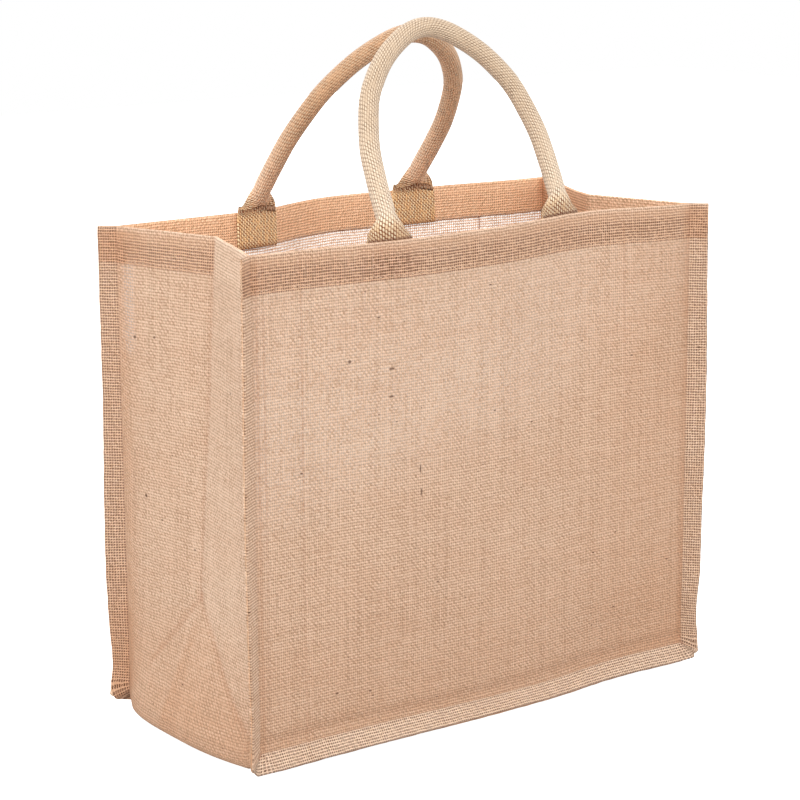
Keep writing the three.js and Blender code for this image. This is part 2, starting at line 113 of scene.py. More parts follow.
# Handles
WEBBING_WIDTH = 38.0
WEBBING = 1.7  # thickness
TUBE_RADIUS = 7.2
TUBE_WRAP = 177.0  # degrees that the middle of the webbing reaches each way round the tube
WEBBING_STEPS = 60  # across the webbing
TAB_DEPTH = 28.0
TAB_PRESSED = 0.35  # how far the flat ends sink into the hem
ROLL_LENGTH = 22.0  # over which the tube leaves the webbing's plane
FOLD_BELOW = 5.0  # how far below the rim the webbing begins to be folded at the foot of a handle
FOLD_HEIGHT = 17.0  # how far above the rim it is as narrow as the tube
FOLD_PRESSED = 0.65  # share of its thickness that the webbing loses at the edges of the fold
FOLD_LAG = 0.75  # how far a folded flap hangs back along the handle, for each millimetre folded over
TUBE_HEIGHT = 21.0  # how far above the rim the tube is round
LEAN_REACH = 16.0  # height above the rim over which a handle comes to its lean
SWAY_POWER = 0.8  # by which a handle's sway to the side grows with the height
ARCH = [(1, 0.15), (0.99, 0.3), (0.965, 0.43), (0.9, 0.56), (0.82, 0.67), (0.71, 0.76),
        (0.56, 0.85), (0.38, 0.925), (0.19, 0.98)]  # share of the half span, share of the rise
# own_shade: share of painted shade, the colours of the webbing in its own shade
# shade: share of painted shade on the upper part of a handle, left and right
HANDLES = {
    "front_webbing": {"node": "handle_front", "side": -1, "middle": -3.5, "half_span": 83, "rise": 138,
                      "lean": 25.5, "step": 0, "sway": -1, "fold": 8.0, "own_shade": 0.0, "shade": (0.48, 0.48)},
    "back_webbing": {"node": "handle_back", "side": 1, "middle": -1, "half_span": 78.5, "rise": 131,
                     "lean": 35, "step": -2, "sway": 12.3, "fold": 4.2, "own_shade": 0.75, "shade": (0.9, 0.7)},
}

# Relief of the laid cloth: creases as ((across, up) of both ends, half width, height)
RELIEF = {"height": 0.35, "large": 60, "small": 17, "share": 0.35}
PANEL_CREASES = {
    -1: [
        ((-190, 16), (190, 12), 14, 0.3),
        ((-150, 300), (-60, 60), 45, 0.9),
        ((60, 310), (110, 80), 50, -1.0),
    ],
    1: [
        ((-190, 14), (190, 14), 14, 0.3),
        ((-20, 330), (-40, 120), 60, 1.5),
    ],
}
GUSSET_CREASES = [  # of the left wall
    ((0, 352), (0, 102), 6, -0.9),
    ((-4, 106), (52, 44), 7, -0.7),
    ((4, 106), (-76, 26), 7, -1.2),
    ((8, 66), (26, -12), 8, 1.2),
]
# The warmer lines along the troughs of the gusset are painted shade
FOLD_LINE = 4  # half width of the warmer line along a trough of the gusset
FOLD_LINES = [(start, end, FOLD_LINE, 1.0) for start, end, _, height in GUSSET_CREASES if height < 0]
FOLDS_MEET = 102  # height above the seam at which the gusset's folds meet
GROOVE = {"depth": 1.1, "height": 7.0, "reach": 7.5}  # in which the bottom seam of a panel lies
SEAM_CALM = 12.0  # how near a seam the cloth's unevenness begins to die out
SEWN_TOGETHER = 0.2  # how much nearer each cloth of an allowance lies to the other than the solids do
EDGE_SQUEEZE = 0.55  # share of a hem's height that is left where it is sewn into a seam
EDGE_THINNING = 0.62  # the same for its thickness

# Painted light: the mouth's light shines through the front panel above a slanting line, and through sheer
# cloth
GLOW_LINE = {"across": (-195.0, 42.0, 157.0, 200.0), "height": (160.0, 205.0, 258.0, 285.0)}
SHEER_CLOTH = 0.3  # thickness of the cloth where light shines straight through
SHEER_HEIGHT = (150, 250)  # between which the back panel begins to look sheer
SHEER_STRIP = {"across": 77.0, "half_width": 8.0, "low": 275.0, "share": 0.6}  # beside the back left seam

# Dark specks in the cloth, as (across, along, half width, half length) on the cut
SPECKS = {
    "jute_front": [(-122, 270, 1.6, 1.3), (-87, 261, 2.6, 0.9), (-87, 241, 2.2, 0.9), (-61, 185, 0.7, 3.5),
                   (-60, 168, 0.8, 3.0), (-134, 31, 1.4, 0.9), (-105, 27, 1.2, 0.9)],
    "jute_back": [],
    "jute_gusset": [(72, 77, 1.6, 1.3), (53, 75, 1.2, 1.0), (63, 189, 1.4, 1.4)],
}

STITCH = {"length": 2.4, "pitch": 3.8, "width": 0.5, "height": 0.22, "end": 1.4}  # see stitch_piece
STITCH_RISE = 2.5  # of the hem's stitches above its lower edge

# How finely the cloth is modelled, in millimetres
FINE = 2.6  # step of the grids, away from seams and hems
FOLD_SOFTNESS = 1.2  # half the flat length over which a seam's fold turns
CORNER_ROUND = 0.42  # how round the raw corners of a panel are, from 0 for square
EDGE_ROUND = 0.35  # share of the thickness by which a raw edge is rounded


def smoothstep(x, low, high):
    """0 below low, 1 above high, and 3t^2 - 2t^3 between them."""
    t = np.clip((x - low) / (high - low), 0, 1)
    return t * t * (3 - 2 * t)


def lerp(a, b, t):
    return a + (b - a) * t


def bump(x, middle, reach):
    """Squared cosine: 1 at the middle, 0 at the reach on both sides."""
    return np.cos(np.pi / 2 * np.minimum(np.abs(x - middle) / reach, 1)) ** 2


def soft_min(a, b):
    """The lower of a and b, less a square of how near they are, so that the meeting is round."""
    near = np.maximum(CREASE_SOFTNESS - np.abs(a - b), 0)
    return np.minimum(a, b) - near**2 / (4 * CREASE_SOFTNESS)


def soft_ramp(x, reach):
    """0 below -reach, x above reach, and the parabola that joins them between."""
    return np.where(x <= -reach, 0.0, np.where(x >= reach, x, (x + reach) ** 2 / (4 * reach)))


def vectors(x, y, z):
    return np.stack(np.broadcast_arrays(x, y, z), axis=-1).astype(float)


def soft_noise(x, y, size, seed):
    """Value noise from -1 to 1: random heights at the corners of squares, blended by smoothsteps."""
    cells = np.random.default_rng(seed).uniform(-1, 1, (64, 64))
    i = np.floor(x / size).astype(int)
    j = np.floor(y / size).astype(int)
    s = smoothstep(x / size - i, 0, 1)
    t = smoothstep(y / size - j, 0, 1)
    at = lambda di, dj: cells[(i + di) % 64, (j + dj) % 64]
    return lerp(lerp(at(0, 0), at(1, 0), s), lerp(at(0, 1), at(1, 1), s), t)


# Shape of the bag


def seam_height(x):
    """The bottom seam: level at the corners and a squared cosine lower where it sags."""
    return SEAM_HEIGHT - SEAM_SAG * bump(x, SAG_MIDDLE, HALF_WIDTH - SAG_MIDDLE)


def panel_shift(side, x, z):
    """Bows of a panel as (dy, dz): each is a squared cosine along X, growing with a power of the height."""
    t = np.clip((z - SEAM_HEIGHT) / HEM_TOP, 0, 1) ** BOW_POWER
    dy = sum(push * t * bump(x, middle, reach) for push, middle, reach, _ in RIM_BOWS[side])
    dz = sum(lift * t * bump(x, middle, reach) for _, middle, reach, lift in RIM_BOWS[side])
    if side < 0:
        low = 1 - smoothstep(z, 0, FOOT_BOW["height"])
        dy = dy + FOOT_BOW["push"] * low * bump(x, FOOT_BOW["middle"], FOOT_BOW["reach"])
    return dy, dz


def bowed(points):
    """Moves each point with the panel that it is near, by a smoothstep of how far it is from the middle."""
    x, y, z = points[..., 0], points[..., 1], points[..., 2]
    near = smoothstep(np.abs(y), BOW_ONSET * HALF_DEPTH, BOW_FULL * HALF_DEPTH)
    front, back = panel_shift(-1, x, z), panel_shift(1, x, z)
    dy = near * np.where(y < 0, front[0], back[0])
    dz = near * np.where(y < 0, front[1], back[1])
    return vectors(x, y + dy, z + dz)


def side_leaf(side, end, above):
    """From an upright seam to the raw edge of its allowance, at a height above the bottom seam."""
    seam = SIDE_SEAMS[side, end]
    angle = np.radians(seam["angle"])
    flare = KICK_SHARE * bump(above, 0, KICK_REACH)
    swell = seam["swell"] * bump(above, seam["at"], SWELL_REACH)
    draw = seam["draw"] * bump(above, DRAW_HEIGHT, DRAW_REACH)
    out = lerp(ALLOWANCE * np.sin(angle) + swell - draw, seam["out"], flare)
    forth = lerp(ALLOWANCE * np.cos(angle), seam["forth"], flare)
    return vectors(end * out, side * forth, 0 * out)


def corner_leaf(side, end):
    seam = SIDE_SEAMS[side, end]
    return np.array([end * seam["out"], side * seam["forth"], seam["up"] - LEAF_DROP], float)


def bottom_leaf(side, x):
    """From the bottom seam to its raw edge just above the ground, as long as the allowance is wide."""
    fall = seam_height(x) - (SEAM_HEIGHT - LEAF_DROP)
    return vectors(0 * x, side * np.sqrt(ALLOWANCE**2 - fall**2), -fall)


def turned_leaf(side, end, above, x, most):
    """Leaf vectors beside a corner, upright and level: their tips close in on the corner's own tip.

    The tip at a distance from the corner is most * (1 - smoothstep(distance)) of the way there.
    """
    tip = np.array([end * HALF_WIDTH, 0, SEAM_HEIGHT]) + corner_leaf(side, end)
    share = most * (1 - smoothstep(above, 0, CORNER_REACH))[..., None]
    root = vectors(end * HALF_WIDTH + 0 * above, 0 * above, SEAM_HEIGHT + above)
    upright = lerp(side_leaf(side, end, above), tip - root, share)
    share = most * (1 - smoothstep(HALF_WIDTH - end * x, 0, CORNER_REACH))[..., None]
    root = vectors(x, 0 * x, seam_height(x))
    level = lerp(bottom_leaf(side, x), tip - root, share)
    return upright, level


def panel_surface(side, a, b):
    """A panel over its cut: a across from the middle, b up from the bottom seam.

    The face is a plane. Past a seam the cloth goes along that seam's leaf, and in the corner
    between two seams along both leaves, with a mitre where they are equal. There each share is
    less by the root of one minus a share of the other's square, which rounds the raw corner.
    """
    out = soft_ramp(np.abs(a) - HALF_WIDTH, FOLD_SOFTNESS) / ALLOWANCE
    down = soft_ramp(-b, FOLD_SOFTNESS) / ALLOWANCE
    x = np.sign(a) * (np.abs(a) - out * ALLOWANCE)
    above = b + down * ALLOWANCE
    out, down = out * np.sqrt(1 - CORNER_ROUND * down**2), down * np.sqrt(1 - CORNER_ROUND * out**2)
    z = lerp(seam_height(x), RIM_HEIGHT, above / HEM_TOP)
    points = vectors(x, side * HALF_DEPTH + 0 * x, z)
    both = np.minimum(out, down)[..., None]
    for end in (-1, 1):
        here = (np.where(a < 0, -1, 1) == end)[..., None]
        upright, level = turned_leaf(side, end, above, x, 0.5)
        moved = (out[..., None] - both) * upright + (down[..., None] - both) * level
        points = points + here * (moved + both * corner_leaf(side, end))
    return bowed(points)


def gusset_inset(v, z, push):
    """How far a gusset wall stands in from its seams, at a share v of its half width and a height z."""
    above = np.maximum(z - SEAM_HEIGHT, 0)
    depth = lerp(push["low"], push["rim"], np.clip((above - CREASE_END) / (HEM_TOP - CREASE_END), 0, 1))
    low = np.clip(above / CREASE_END, 0, 1)
    shape = np.where(v < 0, BULGE_SHAPE["front"], BULGE_SHAPE["back"])
    belly = END_BULGE * (1 - low) ** BULGE_POWER * (1 - np.abs(v) ** shape)
    return soft_min(depth * (1 - np.abs(v)), push["low"] * above / CREASE_END) - belly


def bottom_height(v, seam_z):
    """Height of the cloth under the bag: flat on the ground, then up to the seam by a power."""
    t = np.clip((np.abs(v) - FLAT_SHARE) / (1 - FLAT_SHARE), 0, 1)
    return lerp(CLOTH / 2, seam_z, t**FLANK_POWER)


def gusset_surface(c, d):
    """The gusset over its cut: c across from the middle, d along from the left rim.

    Left wall down to the corner, a quarter fold, the bottom, a quarter fold and the right wall.
    The fold is round in the middle and sharp at the seams, and past a seam lies the leaf.
    """
    leaf = soft_ramp(np.abs(c) - HALF_DEPTH, FOLD_SOFTNESS) / ALLOWANCE
    v = np.sign(c) * (np.abs(c) - leaf * ALLOWANCE) / HALF_DEPTH
    reach = lerp(FOLD_REACH, CORNER_REACH, np.abs(v) ** 12)
    roundness = 1 - np.abs(v) ** FOLD_SHARPENING
    z0 = bottom_height(v, SEAM_HEIGHT)
    wall_x = lambda z, end: HALF_WIDTH - gusset_inset(v, z, PUSH[end])
    x_flat = d - HEM_TOP - HALF_WIDTH
    share = np.clip((x_flat / (HALF_WIDTH - CORNER_REACH) + 1) / 2, 0, 1)
    left = -(wall_x(0 * v, -1) - reach)
    right = wall_x(0 * v, 1) - reach
    x = lerp(left, right, share)
    points = vectors(x, v * HALF_DEPTH, bottom_height(v, seam_height(x)))
    for end in (-1, 1):
        inward = HALF_WIDTH + end * -x_flat  # distance past the corner, along the bottom
        above = np.maximum(-inward, 0)
        turn = np.clip((CORNER_REACH + inward) / (2 * CORNER_REACH), 0, 1)
        along = lerp(np.maximum(2 * turn - 1, 0), 1 - np.cos(turn * np.pi / 2), roundness) * reach
        up = lerp(np.maximum(1 - 2 * turn, 0), 1 - np.sin(turn * np.pi / 2), roundness) * reach
        fold = vectors(end * (wall_x(0 * v, end) - along), v * HALF_DEPTH, z0 + up)
        z = lerp(z0 + reach, RIM_HEIGHT, (above - CORNER_REACH) / (HEM_TOP - CORNER_REACH))
        wall = vectors(end * wall_x(z, end), v * HALF_DEPTH, z)
        points = np.where((inward < CORNER_REACH)[..., None], fold, points)
        points = np.where((inward < -CORNER_REACH)[..., None], wall, points)
    for side in (-1, 1):
        for end in (-1, 1):
            inward = HALF_WIDTH + end * -x_flat
            above = np.maximum(-inward, 0)
            here = (np.sign(c) == side) & (np.sign(x_flat + 1e-6) == end)
            along = np.clip(x_flat, -HALF_WIDTH, HALF_WIDTH)
            upright, level = turned_leaf(side, end, above, along, 1.0)
            vector = np.where((inward < 0)[..., None], upright, level)
            cut = np.sqrt(1 - CORNER_ROUND * (1 - smoothstep(np.abs(inward), 0, CORNER_REACH)))
            points = points + (here * leaf * cut)[..., None] * vector
    return bowed(points)


def normals_of(surface, a, b, step=0.25):
    """Unit normals of a surface over its cut, from central differences in both directions."""
    across = surface(a + step, b) - surface(a - step, b)
    along = surface(a, b + step) - surface(a, b - step)
    normal = np.cross(across, along)
    return normal / np.maximum(np.linalg.norm(normal, axis=-1, keepdims=True), 1e-9)


def spaced(stops, steps):
    """Places from stop to stop, evenly spaced within each stretch by about its own step."""
    parts = [np.array(stops[:1], float)]
    for low, high, step in zip(stops[:-1], stops[1:], steps):
        count = max(int(round(abs(high - low) / step)), 1)
        parts.append(np.linspace(low, high, count + 1)[1:])
    return np.concatenate(parts)


def hem_profile(b):
    """Where cloth lies that is turned over the rim, for places b measured along it from the bottom seam.

    Up the outside, half a circle over the rim, and down the inside. Gives the height above the
    seam, how far inwards the middle of the cloth lies, and its thickness.
    """
    angle = np.clip((b - HEM_START) / HEM_RADIUS, 0, np.pi)
    height = np.minimum(b, HEM_START) + HEM_RADIUS * np.sin(angle) - np.maximum(b - HEM_START - HEM_BEND, 0)
    doubled = smoothstep(b, HEM_LOW - 3, HEM_LOW)
    inwards = HEM_RADIUS * (1 - np.cos(angle)) - (CLOTH - HEM_LAYER) / 2 * doubled
    return height, inwards, lerp(CLOTH, HEM_LAYER, doubled)


def creased(a, b, creases):
    """Height of soft troughs and ridges: squared cosines across their lines, fading at both ends."""
    total = 0 * a
    for (a0, b0), (a1, b1), width, height in creases:
        du, dv = a1 - a0, b1 - b0
        length = np.hypot(du, dv)
        along = ((a - a0) * du + (b - b0) * dv) / length
        off = ((a - a0) * dv - (b - b0) * du) / length
        fade = smoothstep(along, -width, width) * (1 - smoothstep(along, length - width, length + width))
        total = total + height * bump(off, 0, width) * fade
    return total


# Meshes


def mesh_object(name, points, quads, uv, marks=None):
    """A smooth object from arrays of points in millimetres and quads, turned so that its faces point out."""
    corners = points[quads]
    volume = np.einsum("ij,ij->", corners[:, 0], np.cross(corners[:, 1], corners[:, 2]))
    volume += np.einsum("ij,ij->", corners[:, 0], np.cross(corners[:, 2], corners[:, 3]))
    if volume < 0:
        quads = quads[:, ::-1]
    mesh = bpy.data.meshes.new(name)
    mesh.vertices.add(len(points))
    mesh.vertices.foreach_set("co", (points * MM).astype(np.float32).ravel())
    mesh.loops.add(quads.size)
    mesh.loops.foreach_set("vertex_index", quads.astype(np.int32).ravel())
    mesh.polygons.add(len(quads))
    mesh.polygons.foreach_set("loop_start", np.arange(0, quads.size, 4, dtype=np.int32))
    mesh.update(calc_edges=True)
    mesh.polygons.foreach_set("use_smooth", np.ones(len(quads), bool))
    layer = mesh.uv_layers.new(name="Cloth")
    layer.data.foreach_set("uv", (uv[quads.ravel()] * MM).astype(np.float32).ravel())
    for mark, values in (marks or {}).items():
        attribute = mesh.attributes.new(mark, "FLOAT", "POINT")
        attribute.data.foreach_set("value", values.astype(np.float32).ravel())
    obj = bpy.data.objects.new(name, mesh)
    bpy.context.scene.collection.objects.link(obj)
    return obj


def sheet_object(name, middle, normals, thickness, flat, marks):
    """A closed sheet of cloth around a grid of points: both faces, and a rounded raw edge all round.

    marks gives for each attribute its values on the face that the normals point to and on the other.
    One attribute is added here: edge, 1 along the raw edge and 0 on both faces.
    """
    rows, columns = middle.shape[:2]
    half = (thickness / 2)[..., None] * normals
    count = rows * columns
    index = np.arange(count).reshape(rows, columns)
    ring = np.concatenate([index[0, :-1], index[:-1, -1], index[-1, :0:-1], index[:0:-1, 0]])
    within = np.pad(index[1:-1, 1:-1], 1, mode="edge")  # for each point of the ring the nearest one inside
    flat_points = middle.reshape(-1, 3)
    outwards = flat_points[ring] - flat_points[within.ravel()[ring]]
    outwards /= np.maximum(np.linalg.norm(outwards, axis=1, keepdims=True), 1e-9)
    edge = flat_points[ring] + outwards * (EDGE_ROUND * thickness.ravel()[ring])[:, None]
    points = np.concatenate([(middle + half).reshape(-1, 3), (middle - half).reshape(-1, 3), edge])
    a, b, c, d = index[:-1, :-1], index[:-1, 1:], index[1:, 1:], index[1:, :-1]
    top = np.stack([a, b, c, d], -1).reshape(-1, 4)
    under = np.stack([a, d, c, b], -1).reshape(-1, 4) + count
    turn = 2 * count + np.arange(len(ring))
    after, turn_after = np.roll(ring, -1), np.roll(turn, -1)
    upper = np.stack([after, ring, turn, turn_after], -1)
    lower = np.stack([turn_after, turn, ring + count, after + count], -1)
    uv = flat.reshape(-1, 2)
    uv = np.concatenate([uv, uv, uv[ring]])
    values = {}
    for mark, (near, far) in marks.items():
        near, far = np.broadcast_to(near, (rows, columns)), np.broadcast_to(far, (rows, columns))
        values[mark] = np.concatenate([near.ravel(), far.ravel(), near.ravel()[ring]])
    values["edge"] = np.concatenate([np.zeros(2 * count), np.ones(len(ring))])
    return mesh_object(name, points, np.concatenate([top, under, upper, lower]), uv, values)


def relief(a, b, seed):
    """Unevenness of laid jute: two sizes of soft noise."""
    large = soft_noise(a, b, RELIEF["large"], seed)
    return RELIEF["height"] * (large + RELIEF["share"] * soft_noise(a, b, RELIEF["small"], seed + 1))


def edge_wander(x, seed):
    """How a raw edge strays from its line."""
    return 0.2 * soft_noise(x, 0 * x, 9, seed) + 0.1 * soft_noise(x, 0 * x, 3, seed + 1)


def cut_places(across, along, half, seed):
    """Places across a cut, stretched past the seam so that the raw edge wanders, and where that is."""
    beyond = smoothstep(np.abs(across), half - 1, half + 1)
    wander = 1 + edge_wander(along, seed) / ALLOWANCE * beyond
    past = np.maximum(np.abs(across) - half, 0) * wander
    return np.sign(across) * (np.minimum(np.abs(across), half) + past), beyond


def calm(across, half):
    """0 at a seam and 1 from SEAM_CALM inside it on."""
    return 1 - smoothstep(np.abs(across), half - SEAM_CALM, half - 1)


def worn_thickness(thickness, b, beyond, sheer):
    """Cloth is thinner where a hem is sewn into a seam, and where light shines straight through."""
    thickness = thickness * lerp(1, EDGE_THINNING, beyond * smoothstep(b, HEM_LOW - 4, HEM_LOW))
    return lerp(thickness, SHEER_CLOTH, sheer)


def in_hem(height):
    """1 in the hem and 0 below it."""
    return smoothstep(height, HEM_LOW - 1, HEM_LOW + 1)


def at_rim(height):
    """1 along the rim and 0 from 5 mm below it."""
    return smoothstep(height, HEM_TOP - 5, HEM_TOP - 0.5)


def hem_dashes(height):
    """How dark a hem's gaps show as painted shadow: most in its middle and lower part, least along the rim.
    """
    return in_hem(height) * (1 - 0.9 * smoothstep(height, HEM_TOP - 13, HEM_TOP - 6))


def behind_tabs(side, a):
    """1 where the flat ends of a panel's handle are sewn on, 0 elsewhere."""
    handle = next(row for row in HANDLES.values() if row["side"] == side)
    reach = WEBBING_WIDTH / 2
    off = np.abs(np.abs(a - handle["middle"]) - handle["half_span"])
    return 1 - smoothstep(off, reach - 9, reach + 9)


def shine_through(side, a, height):
    """How much light from the inside shows through a panel: most just above GLOW_LINE, less near the rim."""
    above = height - np.interp(a, GLOW_LINE["across"], GLOW_LINE["height"])
    glow = smoothstep(above, -30, 38) * (1 - 0.45 * smoothstep(above, 60, 150))
    return (side < 0) * glow * (1 - 0.6 * smoothstep(a, 20, 150))


def panel_relief(side, a, height):
    """Unevenness and creases of a panel. The unevenness dies out at the seams, where the cloths lie close."""
    free = calm(a, HALF_WIDTH) * smoothstep(height, 1, SEAM_CALM)
    return free * relief(a, height, 20 + side) + creased(a, height, PANEL_CREASES[side])


def gusset_relief(c, place, height, from_left):
    """Unevenness of the gusset's walls, with the folds that the photo shows in the left one."""
    folds = creased(c, height, GUSSET_CREASES) * from_left * smoothstep(height, 0, 15)
    return calm(c, HALF_DEPTH) * smoothstep(height, 10, 40) * relief(c, place, 41) + folds


def panel_marks(side, a, b, height, beyond, below, sheer):
    """The marks of a panel, as pairs for its two faces: see cloth_material for what each does."""
    inside = b > HEM_START + HEM_BEND / 2
    hem = in_hem(height)
    face = (1 - beyond) * (1 - below)
    single = (1 - np.maximum(hem, beyond)) * (1 - below)
    on_tab = behind_tabs(side, a) * hem * (a < 0)
    in_seam = np.abs(a) < HALF_WIDTH
    # Painted shadow in the holes, darkest where the cloth lies double
    gaps = 0.5 + 0.6 * hem_dashes(height) * (1 + 0.2 * on_tab)
    gaps = np.maximum(gaps, lerp(0.95, 0.6, (side < 0) * (a < 0)) * beyond)
    gaps = np.maximum(gaps, 0.95 * below)
    upright_seam = bump(np.abs(a), HALF_WIDTH, 1.5) * (b > 0) * (0.15 + 0.2 * (a > 0))
    level_seam = 0.35 * bump(b, 0, 1.5) * in_seam
    corner = bump(np.hypot(np.abs(a) - HALF_WIDTH - 1, b + 1), 0, 5)
    # seam darkens the seam lines, and as painted shade the hem where a handle's flat end lies behind it
    seam = np.maximum.reduce([upright_seam, level_seam, corner, 0.1 * on_tab])
    # Painted warm shade: above the bottom seam, beside the upright seams, in the hem and on the allowances
    warm_shade = 0.2 * (1 - smoothstep(b, 4, 22)) * (b > 0) + 0.4 * bump(np.abs(a), HALF_WIDTH - 2, 7) * (1 - below)
    warm_shade = warm_shade * (1 - 0.6 * beyond) + 0.9 * hem + 0.3 * beyond * (1 - below)
    glow = shine_through(side, a, height) * single
    # More painted shade on the front panel: low down, to the right and away from the glow
    redder = 0.4 * (1 - smoothstep(height, 20, 140)) + 0.4 * smoothstep(a, 60, 190) + 0.25 * (1 - glow)
    warm_shade = warm_shade + (side < 0) * redder * (1 - hem) * face
    # Painted highlight along the outside of the rim, and painted light on the allowances below the bottom
    # seam
    pale = 0.75 * at_rim(height) * ~inside + 0.55 * below
    return {
        "gaps": (gaps, gaps * 0.5),
        "doubled": (1 - single + 0.45 * on_tab, 1 - single),
        # painted light: the inside is tinted lighter
        "inner_light": (0.0, 0.5 + 0.5 * inside),
        "seam": (seam, 0.5 * seam),
        "warm_shade": (warm_shade, warm_shade),
        "pale": (pale, 0.4 * pale),
        "sheer": (sheer, sheer),
        "lit": (0.2 * glow, sheer),
    }


def panel_piece(name, side, colours):
    """A panel: outside, hem turned in at the top, allowances past the seams on three sides."""
    edge = HALF_WIDTH + ALLOWANCE
    across = spaced([-edge, -HALF_WIDTH - 2, -HALF_WIDTH + 2, HALF_WIDTH - 2, HALF_WIDTH + 2, edge],
                    [2, 0.6, FINE, 0.6, 2])
    up = spaced([-ALLOWANCE, -2, 2, 18, HEM_LOW - 4, HEM_START, HEM_START + HEM_BEND, HEM_END],
                [2, 0.6, 1.4, FINE, 1.6, 0.4, 2])
    a, b = np.meshgrid(across, up)
    height, inwards, thickness = hem_profile(b)
    a_cut, beyond = cut_places(a, b, HALF_WIDTH, 5 + side)
    below = 1 - smoothstep(b, -1, 1)
    surface = lambda p, q: panel_surface(side, p, q)
    middle = surface(a_cut, height)
    normals = normals_of(surface, a_cut, height) * -side
    groove = bump(height, GROOVE["height"], GROOVE["reach"]) * (1 - beyond) * (1 - below)
    lift = (CLOTH + SEWN_GAP) / 2 - inwards * lerp(1, EDGE_SQUEEZE, beyond) - GROOVE["depth"] * groove
    lift = lift + panel_relief(side, a, height) - SEWN_TOGETHER * np.maximum(beyond, below)
    single = (1 - np.maximum(in_hem(height), beyond)) * (1 - below)
    sheer = (side > 0) * single * smoothstep(height, *SHEER_HEIGHT)
    thickness = worn_thickness(thickness, b, beyond, sheer)
    marks = panel_marks(side, a, b, height, beyond, below, sheer)
    middle = middle + normals * lift[..., None]
    obj = sheet_object(name, middle, normals, thickness, np.stack([a, b], -1), marks)
    obj.data.materials.append(cloth_material("jute_front" if side < 0 else "jute_back", colours))
    return obj


def gusset_marks(c, b, height, beyond, sheer, from_left):
    """The marks of the gusset, as pairs for its two faces: see cloth_material for what each does."""
    inside = b > HEM_START + HEM_BEND / 2
    hem = in_hem(height)
    single = 1 - np.maximum(hem, beyond)
    front = smoothstep(-c, -3, 3)
    on_wall = smoothstep(height, 10, 40)
    # Painted shadow in the holes, darkest where the cloth lies double, less on the front half
    gaps = np.maximum(0.35 + 0.6 * hem_dashes(height) * (1 - 0.9 * front) - 0.15 * front, 0.95 * beyond)
    # Painted shade along the troughs of the folds, in the seam colour and the warm tone
    folds = creased(c, height, FOLD_LINES) * from_left * ~inside
    seam = np.maximum(0.25 * bump(np.abs(c), HALF_DEPTH, 1.5), 0.2 * folds)
    slope = np.where(c < 0, 1.0, 1.1)
    above_folds = smoothstep(height + slope * np.abs(c), FOLDS_MEET - 2, FOLDS_MEET + 2)
    below_folds = from_left * (1 - above_folds)
    ridge_side = 1 - smoothstep(c - 0.23 * (FOLDS_MEET - height), -2, 2)
    # Painted warm shade: by the seams, low down, in hem and allowances, on the back half, in and below the
    # folds
    warm_shade = 0.3 * bump(np.abs(c), HALF_DEPTH - 3, 9) + 0.8 * (1 - smoothstep(height, 15, 120))
    warm_shade = warm_shade + 0.8 * hem * (1 - front) + 0.4 * beyond + 0.12 * (1 - front) + 0.3 * folds
    warm_shade = warm_shade + below_folds * (0.35 * ridge_side - 0.1) + 0.4 * bump(c, HALF_DEPTH, 32) * (1 - beyond)
    # Painted light on the front half and along the middle crease; pale adds a painted highlight along the rim
    lit_side = (0.25 * front + 0.4 * bump(c, -2, 3.5)) * on_wall * above_folds * from_left
    pale = np.clip(0.75 * at_rim(height) * ~inside + lit_side, 0, 1)
    return {
        "gaps": (gaps, gaps * 0.65),
        "doubled": (1 - single, 1 - single),
        "inner_light": (0.0, 0.35),
        # painted light: the inside is tinted lighter
        "seam": (seam, 0.5 * seam),
        # the inside gets more painted warm shade
        "warm_shade": (warm_shade, warm_shade + 0.4),
        "pale": (pale, 0.4 * pale),
        "sheer": (sheer, sheer),
        "lit": (sheer, 0.0),
    }


def gusset_piece(name, colours):
    """The gusset: one strip from rim to rim under the bag, hemmed at both ends."""
    edge = HALF_DEPTH + ALLOWANCE
    across = spaced([-edge, -HALF_DEPTH - 2, -HALF_DEPTH + 2, HALF_DEPTH - 2, HALF_DEPTH + 2, edge],
                    [2.4, 0.6, FINE, 0.6, 2.4])
    half = [HEM_TOP - HEM_END, HEM_TOP - HEM_START - HEM_BEND, HEM_TOP - HEM_START, HEM_DEPTH + 4,
            HEM_TOP - 14, HEM_TOP + 14]
    along = spaced(half + [GUSSET_LENGTH - place for place in half[::-1]],
                   [2, 0.4, 2, FINE, 1.1, 3.2, 1.1, FINE, 2, 0.4, 2])
    c, d = np.meshgrid(across, along)
    from_left = d < GUSSET_LENGTH / 2
    b = np.where(from_left, HEM_TOP - d, d - (GUSSET_LENGTH - HEM_TOP))
    height, inwards, thickness = hem_profile(b)
    place = np.where(from_left, HEM_TOP - height, GUSSET_LENGTH - HEM_TOP + height)
    c_cut, beyond = cut_places(c, d, HALF_DEPTH, 11)
    middle = gusset_surface(c_cut, place)
    normals = normals_of(gusset_surface, c_cut, place)
    underneath = normals[len(along) // 2, len(across) // 2]
    normals = normals * -np.sign(underneath[2])
    near_seam = smoothstep(np.abs(c), HALF_DEPTH - 8, HALF_DEPTH)
    lift = (CLOTH + SEWN_GAP) / 2 * near_seam - inwards * lerp(1, EDGE_SQUEEZE, beyond)
    lift = lift + gusset_relief(c, place, height, from_left) - SEWN_TOGETHER * beyond
    strip = SHEER_STRIP
    single = 1 - np.maximum(in_hem(height), beyond)
    sheer = strip["share"] * from_left * single * bump(c, strip["across"], strip["half_width"])
    sheer = sheer * smoothstep(height, strip["low"] - 20, strip["low"]) * (height < HEM_LOW)
    thickness = worn_thickness(thickness, b, beyond, sheer)
    marks = gusset_marks(c, b, height, beyond, sheer, from_left)
    middle = middle + normals * lift[..., None]
    obj = sheet_object(name, middle, normals, thickness, np.stack([c, d], -1), marks)
    obj.data.materials.append(cloth_material("jute_gusset", colours))
    return obj


